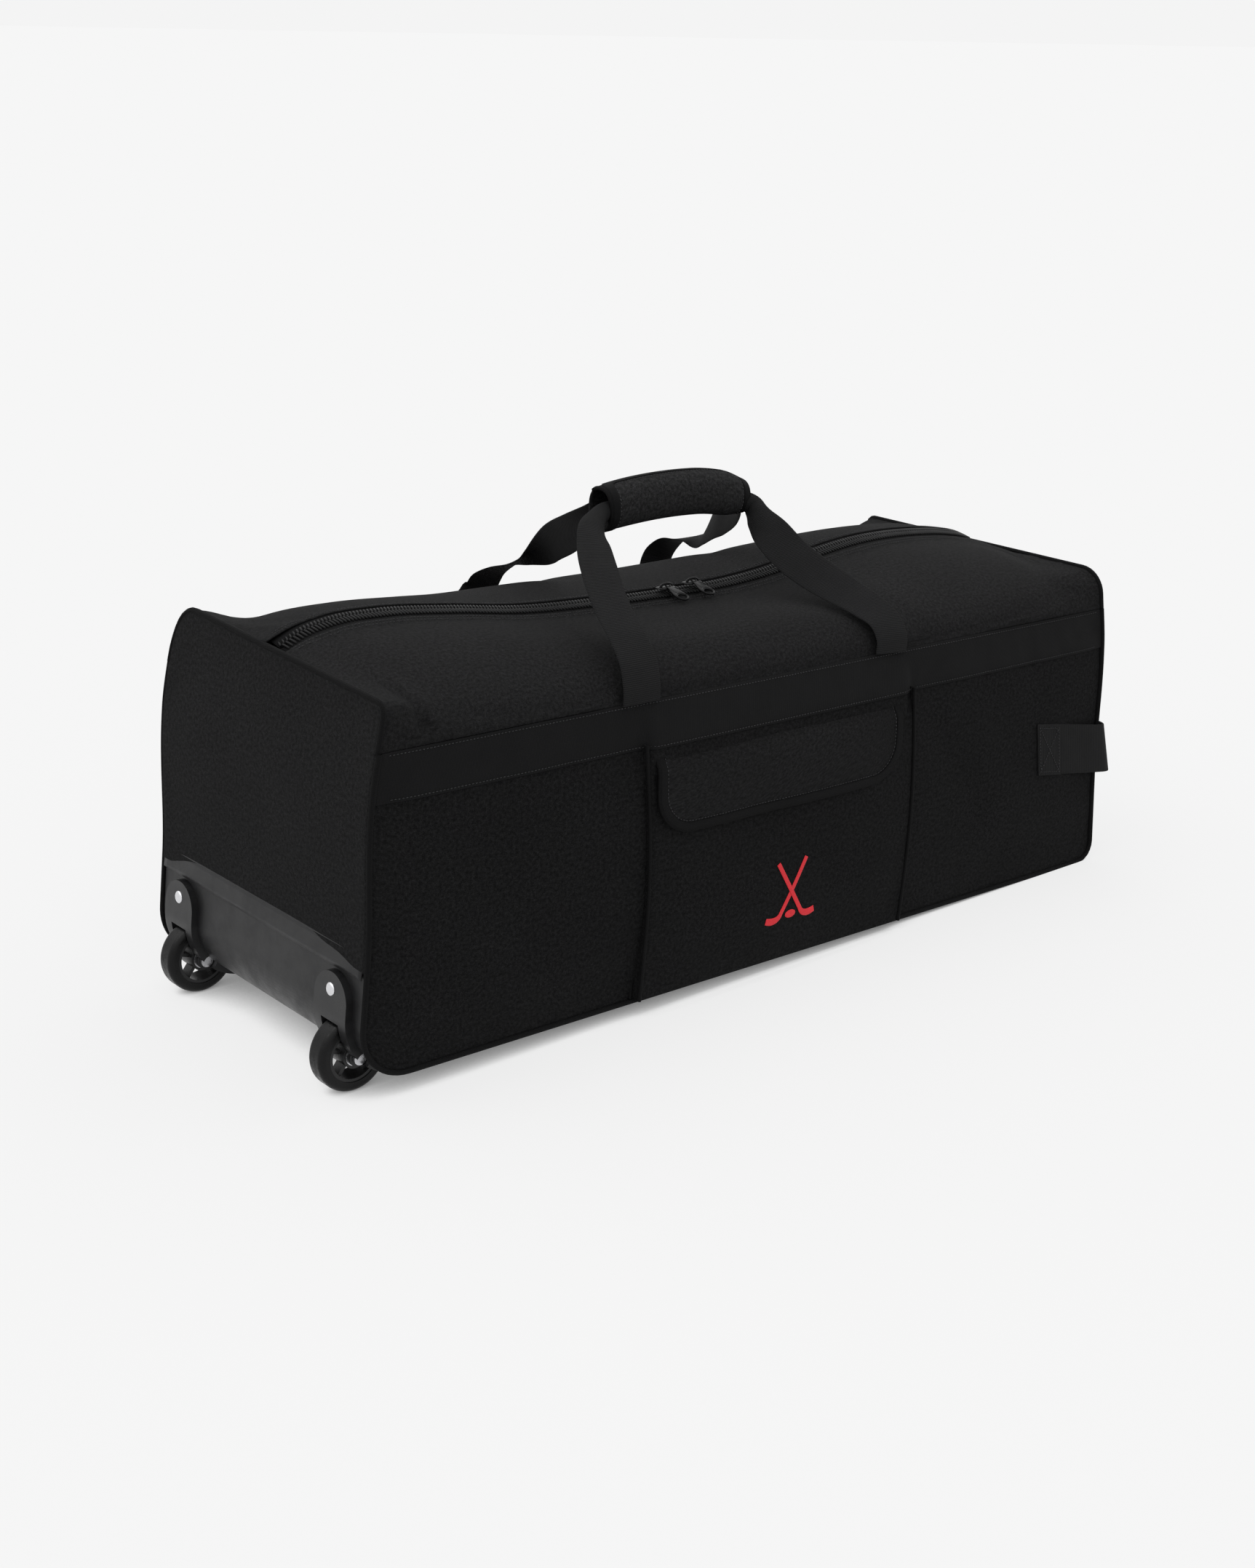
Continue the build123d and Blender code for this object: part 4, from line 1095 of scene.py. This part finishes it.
def grip():
    around = 48
    ends = np.linspace(GRIP_LOW.x, GRIP_HIGH.x, GRIP_RINGS)
    for name, start, stop, body, replaced in (("grip_wrap", 52, 308, "handle_front", "grip_pad"),
                                              ("grip_flap", -53, 50, "handle_rear", "grip_cap")):
        points, _ = grip_place(ends[:, None], np.linspace(start, stop, around)[None])
        piece = mesh_piece(name, points, grid_faces(GRIP_RINGS, around), "padding",
                           grid_uv(points)[..., ::-1])
        thicken(piece, GRIP_SKIN, 1.0)
        refine(piece)
        finish_piece(piece, body, replaced)
    edges = [rounded_u(GRIP_LOW.x + inset, GRIP_HIGH.x - inset, inset, 0.068, 0.016 - inset * 0.7)
             for inset in (0.0004, 0.0100, 0.0120)]
    per_metre = 180 / 0.062

    def place(x, around_front):
        return grip_place(x, 66 + around_front * per_metre, GRIP_SKIN)

    trim = tape("grip_binding", edges[0], edges[1], place)
    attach(trim, "handle_front")
    line, out = place(edges[2][:, 0], edges[2][:, 1])
    rows = stitches("grip_stitches", [(line + out * STITCH_LIFT, out)])
    finish_piece(rows, "handle_front")
    for label, x in (("left", GRIP_LOW.x), ("right", GRIP_HIGH.x)):
        rim, _ = grip_place(np.full(60, x), np.linspace(54, 306, 60), GRIP_SKIN / 2)
        roll = sweep(f"grip_rim_{label}", rim, 0.0024, (1, 0, 0), "binding")
        finish_piece(roll, "handle_front")


# Pocket and flap

def pocket_y(x, z):
    """The face of the pocket: full in the middle, drawn in at its edges and tucked under the band."""
    middle = (POCKET_LOW.x + POCKET_HIGH.x) / 2
    a = (x - middle) / (POCKET_HIGH.x - POCKET_LOW.x) * 2
    b = (z - POCKET_LOW.z) / (BAND_FOOT - POCKET_LOW.z) * 2 - 1
    full = (1 - np.abs(np.clip(a, -1, 1)) ** 4) * (1 - np.abs(np.clip(b, -1, 1)) ** 4)
    hollow = 0.0022 * valley(x, z, (-0.060, 0.200), (0.080, 0.070), 0.030)
    tuck = 0.0045 * smooth((z - BAND_FOOT + 0.030) / 0.034)
    return POCKET_LOW.y + 0.001 + tuck - full * (0.0055 + 0.0010 * waves(x, z, 21, 0.2) - hollow)


def pocket_edge(edge, z):
    """The loaded pocket sags towards the far end between its mouth and its foot."""
    return edge + 0.009 * np.sin(math.pi * np.clip(z / BAND_FOOT, 0, 1))


def pocket():
    columns, rows = 81, 51
    x, z = np.meshgrid(np.linspace(POCKET_LOW.x, POCKET_HIGH.x, columns),
                       np.linspace(0.004, BAND_FOOT + 0.004, rows))
    points = points_at(pocket_edge(x, z), pocket_y(x, z), z)
    face = panel("pocket_cloth", points, "polyester")
    settle(face, edges_of((rows, columns)), 0.5, 0.002, slack=0.003)
    refine(thicken(face, CLOTH))
    finish_piece(face, "shell", "pocket_panel")
    y = np.linspace(-HALF_WIDTH - 0.002, POCKET_LOW.y + 0.001, 5)
    hollow = 0.0012 * np.sin(np.linspace(0, math.pi, 5))
    heights = np.linspace(0.004, BAND_FOOT + 0.006, 40)
    for name, out, edge in (("left", -1, POCKET_LOW.x), ("right", 1, POCKET_HIGH.x)):
        across = pocket_edge(edge, heights)
        side = points_at(across[:, None] - out * hollow, y, heights[:, None])
        gusset = panel(f"pocket_gusset_{name}", side, "polyester", flip=out < 0)
        thicken(gusset, CLOTH)
        if out < 0:
            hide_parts("pocket_gussets")
        finish_piece(gusset, "shell")
        path = points_at(across, POCKET_LOW.y, heights)
        foot = path * (1, 0, 1) + (out * 0.003, -HALF_WIDTH - 0.0015, 0)
        for kind, line, radius in (("piping", path, 0.0021), ("seam", foot, 0.0020)):
            finish_piece(sweep(f"pocket_{kind}_{name}", line, radius, (1, 0, 0), "binding"), "shell")
    return face

FLAP_ROUND = 0.045
FLAP_TAPE = 0.009


def flap_y(x, z):
    """The flap lies on the pocket and tucks in under the band."""
    lift = 0.0064 + 0.0010 * waves(x, z, 31, 0.15)
    root = smooth((z - (FLAP_HIGH.z - 0.022)) / 0.022)
    return mix(pocket_y(x, z) - lift, -HALF_WIDTH - 0.0105, root)


def flap_place(x, z):
    out = np.broadcast_to(np.array((0.0, -1.0, 0.0)), (*x.shape, 3))
    return points_at(x, flap_y(x, z), z), out


def flap_border(inset):
    return rounded_u(FLAP_LOW.x + inset, FLAP_HIGH.x - inset, FLAP_LOW.z + inset, FLAP_HIGH.z, FLAP_ROUND - inset)


def hang(piece):
    """Bakes a piece's placement into its mesh."""
    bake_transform(piece)


def flap():
    """A sheet with two round lower corners, a bound edge and a stitch line inside it."""
    border = flap_border(0.0)
    top = points_at(np.linspace(border[0, 0], border[-1, 0], len(border)), FLAP_HIGH.z)
    steps = np.linspace(0, 1, 24)[:, None, None]
    spots = top[None] * (1 - steps) + border[None] * steps
    points, _ = flap_place(spots[..., 0], spots[..., 1])
    face = panel("flap_cloth", points, "polyester_painted_lighter", flip=True)
    thicken(face, 0.002)
    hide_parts("flap_panel")
    outer, _ = flap_place(border[:, 0], border[:, 1])
    roll = sweep("flap_edge_roll", resample(outer + (0, 0.001, 0), 0.004), 0.0019, (0, 1, 0), "binding")
    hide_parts("flap_binding")
    trim = tape("flap_tape", border, flap_border(FLAP_TAPE), flap_place)
    ring = flap_border(FLAP_TAPE + 0.0016)
    line, out = flap_place(ring[:, 0], ring[:, 1])
    path = resample(line + out * STITCH_LIFT, 0.008)
    rows = stitches("flap_stitches", [(path, np.broadcast_to((0.0, -1.0, 0.0), path.shape))])
    for piece in (face, roll, trim, rows):
        hang(piece)

# The mark: two crossed sticks with a puck between their blades

STICK = [(-0.29, 0.47), (-0.06, 0.09), (0.17, -0.29), (0.225, -0.375), (0.30, -0.415), (0.39, -0.42), (0.49, -0.395)]
STICK_HALF = [0.036, 0.036, 0.036, 0.042, 0.052, 0.056, 0.050]
MARK_SIZE = 0.076


def mark(cloth):
    """Printed on the pocket."""
    low, high = cad("pocket_mark")
    middle = (low + high) / 2
    tree = surface_of(cloth)
    points = []
    faces = []

    def print_shape(spots, shape_faces, lift):
        flat = points_at(spots[:, 0] * MARK_SIZE + middle.x, POCKET_LOW.y, spots[:, 1] * MARK_SIZE + middle.z)
        laid, _ = lay_on(tree, flat, lift, (0, -1, 0))
        first = len(points)
        points.extend(laid.tolist())
        faces.extend(tuple(first + i for i in shape) for shape in shape_faces)

    stations = 40
    at = np.linspace(0, 1, stations)
    line = curve_through(STICK, at)
    half = curve_through([[h] for h in STICK_HALF], at)
    along = unit(np.gradient(line, axis=0))
    normal = points_at(-along[:, 1], along[:, 0])
    edge = np.linspace(-1, 1, 5)
    for side, lift in ((-1, 0.0004), (1, 0.0007)):
        spots = line[:, None] + normal[:, None] * (half * edge)[..., None]
        spots = spots * (side, 1)
        shape_faces = [face if side < 0 else face[::-1] for face in grid_faces(stations, 5)]
        print_shape(spots.reshape(-1, 2), shape_faces, lift)
    rim = 36
    turn = np.linspace(0, 2 * math.pi, rim, endpoint=False)
    rings = [points_at(0.105 * size * np.cos(turn), 0.062 * size * np.sin(turn) - 0.37)
             for size in (0.02, 0.4, 0.7, 1.0)]
    print_shape(np.concatenate(rings), [face[::-1] for face in grid_faces(4, rim, around=True)], 0.0004)
    piece = mesh_piece("pocket_print", points, faces, "mark")
    thicken(piece, 0.0003, 0.0)
    finish_piece(piece, "shell", "pocket_mark")


# Haul handle

HAUL_HALF = 0.034
HAUL_DROOP = math.tan(math.radians(9))
HAUL_SHEAR = 0.15
HAUL_THICK = 0.0022


def haul_handle(sides):
    """A sheared loop of webbing round the far end, sewn to both sides by a boxed cross."""
    joint = pivot_of("haul_handle_lift")
    near = cad("haul_strap")[0].x
    knots = [(near - 0.002, -HALF_WIDTH - 0.0062), (near + 0.032, -HALF_WIDTH - 0.0072),
             (0.540, -HALF_WIDTH - 0.0085), (0.562, -HALF_WIDTH - 0.0060), (0.576, -HALF_WIDTH + 0.010),
             (0.583, -HALF_WIDTH + 0.045), (0.588, -0.1)]
    knots += [(0.589, 0.0)] + [(x, -y) for x, y in knots[::-1]]
    x, y = curve_through(knots, np.linspace(0, 1, 150)).T
    path = points_at(x, y, joint.z - (x - joint.x) * HAUL_DROOP)
    corner = np.clip((x - joint.x) / 0.1, 0, 1) * smooth((np.abs(y) / HALF_WIDTH - 0.6) / 0.3)
    across = unit(points_at(-HAUL_SHEAR * (1 + corner), 0.0, 1.0))
    points = path[:, None] + across[:, None] * (HAUL_HALF * np.linspace(-1, 1, 9))[:, None]
    piece = mesh_piece("haul_webbing", points, grid_faces(150, 9), "webbing", grid_uv(points))
    ease(thicken(piece, HAUL_THICK, 0.0), 0.0005)
    finish_piece(piece, "haul_handle", "haul_strap")
    x = np.linspace(joint.x - 0.046, joint.x - 0.001, 12)[:, None]
    z = np.linspace(-HAUL_HALF, HAUL_HALF, 12)
    left, right, tall = joint.x - 0.042, joint.x - 0.005, 0.029
    box = [(left, tall), (right, tall), (right, -tall), (left, -tall), (left, tall)]
    for label, side in SIDES:
        spots = points_at(x - z * HAUL_SHEAR, side * HALF_WIDTH, joint.z + z - (x - joint.x) * HAUL_DROOP)
        laid, _ = lay_on(surface_of(sides[label]), spots.reshape(-1, 3), 0.0014, (0, side, 0))
        patch = panel(f"haul_patch_{label}", laid.reshape(spots.shape), "webbing", flip=side < 0)
        ease(thicken(patch, HAUL_THICK, 0.0), 0.0005)
        if side < 0:
            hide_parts("haul_patches")
        finish_piece(patch, "shell")
        lines = [[(a - b * HAUL_SHEAR, side * HALF_WIDTH, joint.z + b - (a - joint.x) * HAUL_DROOP)
                  for a, b in line] for line in (box, (box[3], box[1]), (box[0], box[2]))]
        stitched(f"haul_stitches_{label}", patch, lines, (0, side, 0))

KICK_LIP = 0.011


def kick_rim():
    """The moulded lip of the kick panel, which laps over the foot of the end cloth."""
    y = np.linspace(-HALF_WIDTH + 0.004, HALF_WIDTH - 0.004, 60)
    dip = 0.009 * (1 - smooth((HALF_WIDTH - 0.004 - np.abs(y)) / 0.030))
    up = np.linspace(0, 1, 6)[:, None]
    z = KICK_TOP - 0.012 + (0.012 + KICK_LIP - dip[None]) * up
    x = -end_x(z) - 0.0030 + 0.0012 * up
    points = points_at(x, y[None], z)
    lip = panel("kick_lip", points, "kick_plate")
    thicken(lip, 0.0012, 0.0)
    finish_piece(lip, "shell")
    rim = sweep("kick_rim", points[-1], 0.0010, (0, 0, 1), "kick_plate")
    finish_piece(rim, "shell")


# Hard parts keep their CAD shape

def hard_parts():
    nodes = frame["nodes"]
    looks = {
        "kick_plate": (["kick_panel"], 0.0009),
        "housing": (["wheel_housing_front", "wheel_housing_rear"], 0.0009),
        "tyre": (["tyre_front", "tyre_rear"], 0.0005),
        "hub": (["hub_front", "hub_rear"], 0.0006),
        "steel": (["axle_front", "axle_rear", "bearings_front", "bearings_rear"], 0.0004),
        "rivet": (["housing_rivets"], 0.0003),
        "board": (["base_board"], 0.0008),
        "hook_tape": (["pocket_hook_strip", "flap_loop_strip"], 0.0003),
        "webbing": (["strap_tails"], 0.0003),
        "polyester": (["zip_end_tabs"], 0.0003),
    }
    for look, (names, width) in looks.items():
        for name in names:
            node_object = nodes[name]
            node_object.data.materials.clear()
            node_object.data.materials.append(MATERIAL[look])
            node_object.data.polygons.foreach_set("use_smooth", np.zeros(len(node_object.data.polygons), bool))
            ease(node_object, width)


# Studio

CAMERA_PLACE = (-1.59958, -1.82733, 0.95076)
CAMERA_FORWARD = (0.62356, 0.71541, -0.31522)
CAMERA_RIGHT = (0.76074, -0.64818, 0.03381)
LENS = 49.64
SHIFT = (-0.0213, 0.0034)


def camera():
    data = bpy.data.cameras.new("camera")
    data.lens = LENS
    data.shift_x, data.shift_y = SHIFT
    eye = bpy.data.objects.new("camera", data)
    bpy.context.scene.collection.objects.link(eye)
    back = -Vector(CAMERA_FORWARD).normalized()
    up = back.cross(Vector(CAMERA_RIGHT)).normalized()
    right = up.cross(back)
    turn = Matrix((right, up, back)).transposed().to_4x4()
    eye.matrix_world = BAG @ Matrix.Translation(CAMERA_PLACE) @ turn
    bpy.context.scene.camera = eye


PAPER = 0.905
OVERHEAD = 1.75
SUN = 0.5
FLOOR_GLOW = 0.756
FLOOR_PAINT = 0.105
PAINTED_SHADOW_REACH = 0.07


def studio():
    """A light tent: an even pale sky, brighter overhead, and a pale floor that glows to match it, its glow dimmed near
    the bag as a painted contact shadow.
    """
    bpy.context.scene.view_settings.view_transform = "Standard"
    world = bpy.data.worlds.new("studio")
    bpy.context.scene.world = world
    world.use_nodes = True
    tree = world.node_tree
    direction = node(tree, "TexCoord").outputs["Generated"]
    height = node(tree, "SeparateXYZ", {"Vector": direction}).outputs["Z"]
    tree.links.new(ramp(tree, height, 0.25, 0.9, PAPER, OVERHEAD), tree.nodes["Background"].inputs["Strength"])
    tree.nodes["Background"].inputs["Color"].default_value = (1, 1, 1, 1)
    floor = bpy.data.meshes.new("floor")
    reach = 400
    floor.from_pydata([(-2 * reach, -reach, 0), (2 * reach, -reach, 0), (0, 3 * reach, 0)], [], [(0, 1, 2)])
    ground = bpy.data.objects.new("floor", floor)
    bpy.context.scene.collection.objects.link(ground)
    material, tree, shader = new_material("floor", 1.0, 0.0)
    shader.inputs["Base Color"].default_value = (FLOOR_PAINT, FLOOR_PAINT, FLOOR_PAINT, 1.0)
    shader.inputs["Emission Color"].default_value = (1, 1, 1, 1)
    # The floor's glow is dimmed by ambient occlusion near and under the bag: a painted contact shadow.
    painted_shadow_ao = node(tree, "AmbientOcclusion", {"Distance": PAINTED_SHADOW_REACH}).outputs["AO"]
    tree.links.new(ramp(tree, painted_shadow_ao, 0.0, 0.5, 0.06, FLOOR_GLOW), shader.inputs["Emission Strength"])
    floor.materials.append(material)
    data = bpy.data.lights.new("key", "SUN")
    data.energy = SUN
    data.angle = math.radians(35)
    lamp = bpy.data.objects.new("key", data)
    bpy.context.scene.collection.objects.link(lamp)
    lamp.rotation_mode = "QUATERNION"
    lamp.rotation_quaternion = Vector((0.55, -0.20, -0.95)).to_track_quat("-Z", "Y")


camera()
studio()
wall_cloths = walls()
piping()
kick_rim()
for side_label, side_sign in SIDES:
    band(side_label, side_sign, wall_cloths[side_label])
tops()
for side_label, side_sign in SIDES:
    fold_tape(side_label, side_sign)
for side_label, side_sign in SIDES:
    zip_half(side_label, side_sign)
for slider_label in ("left", "right"):
    slider(slider_label)
    pull(slider_label)
for strap in LEGS:
    handle_strap(*strap)
grip()
pocket_face = pocket()
flap()
mark(pocket_face)
haul_handle(wall_cloths)
hard_parts()
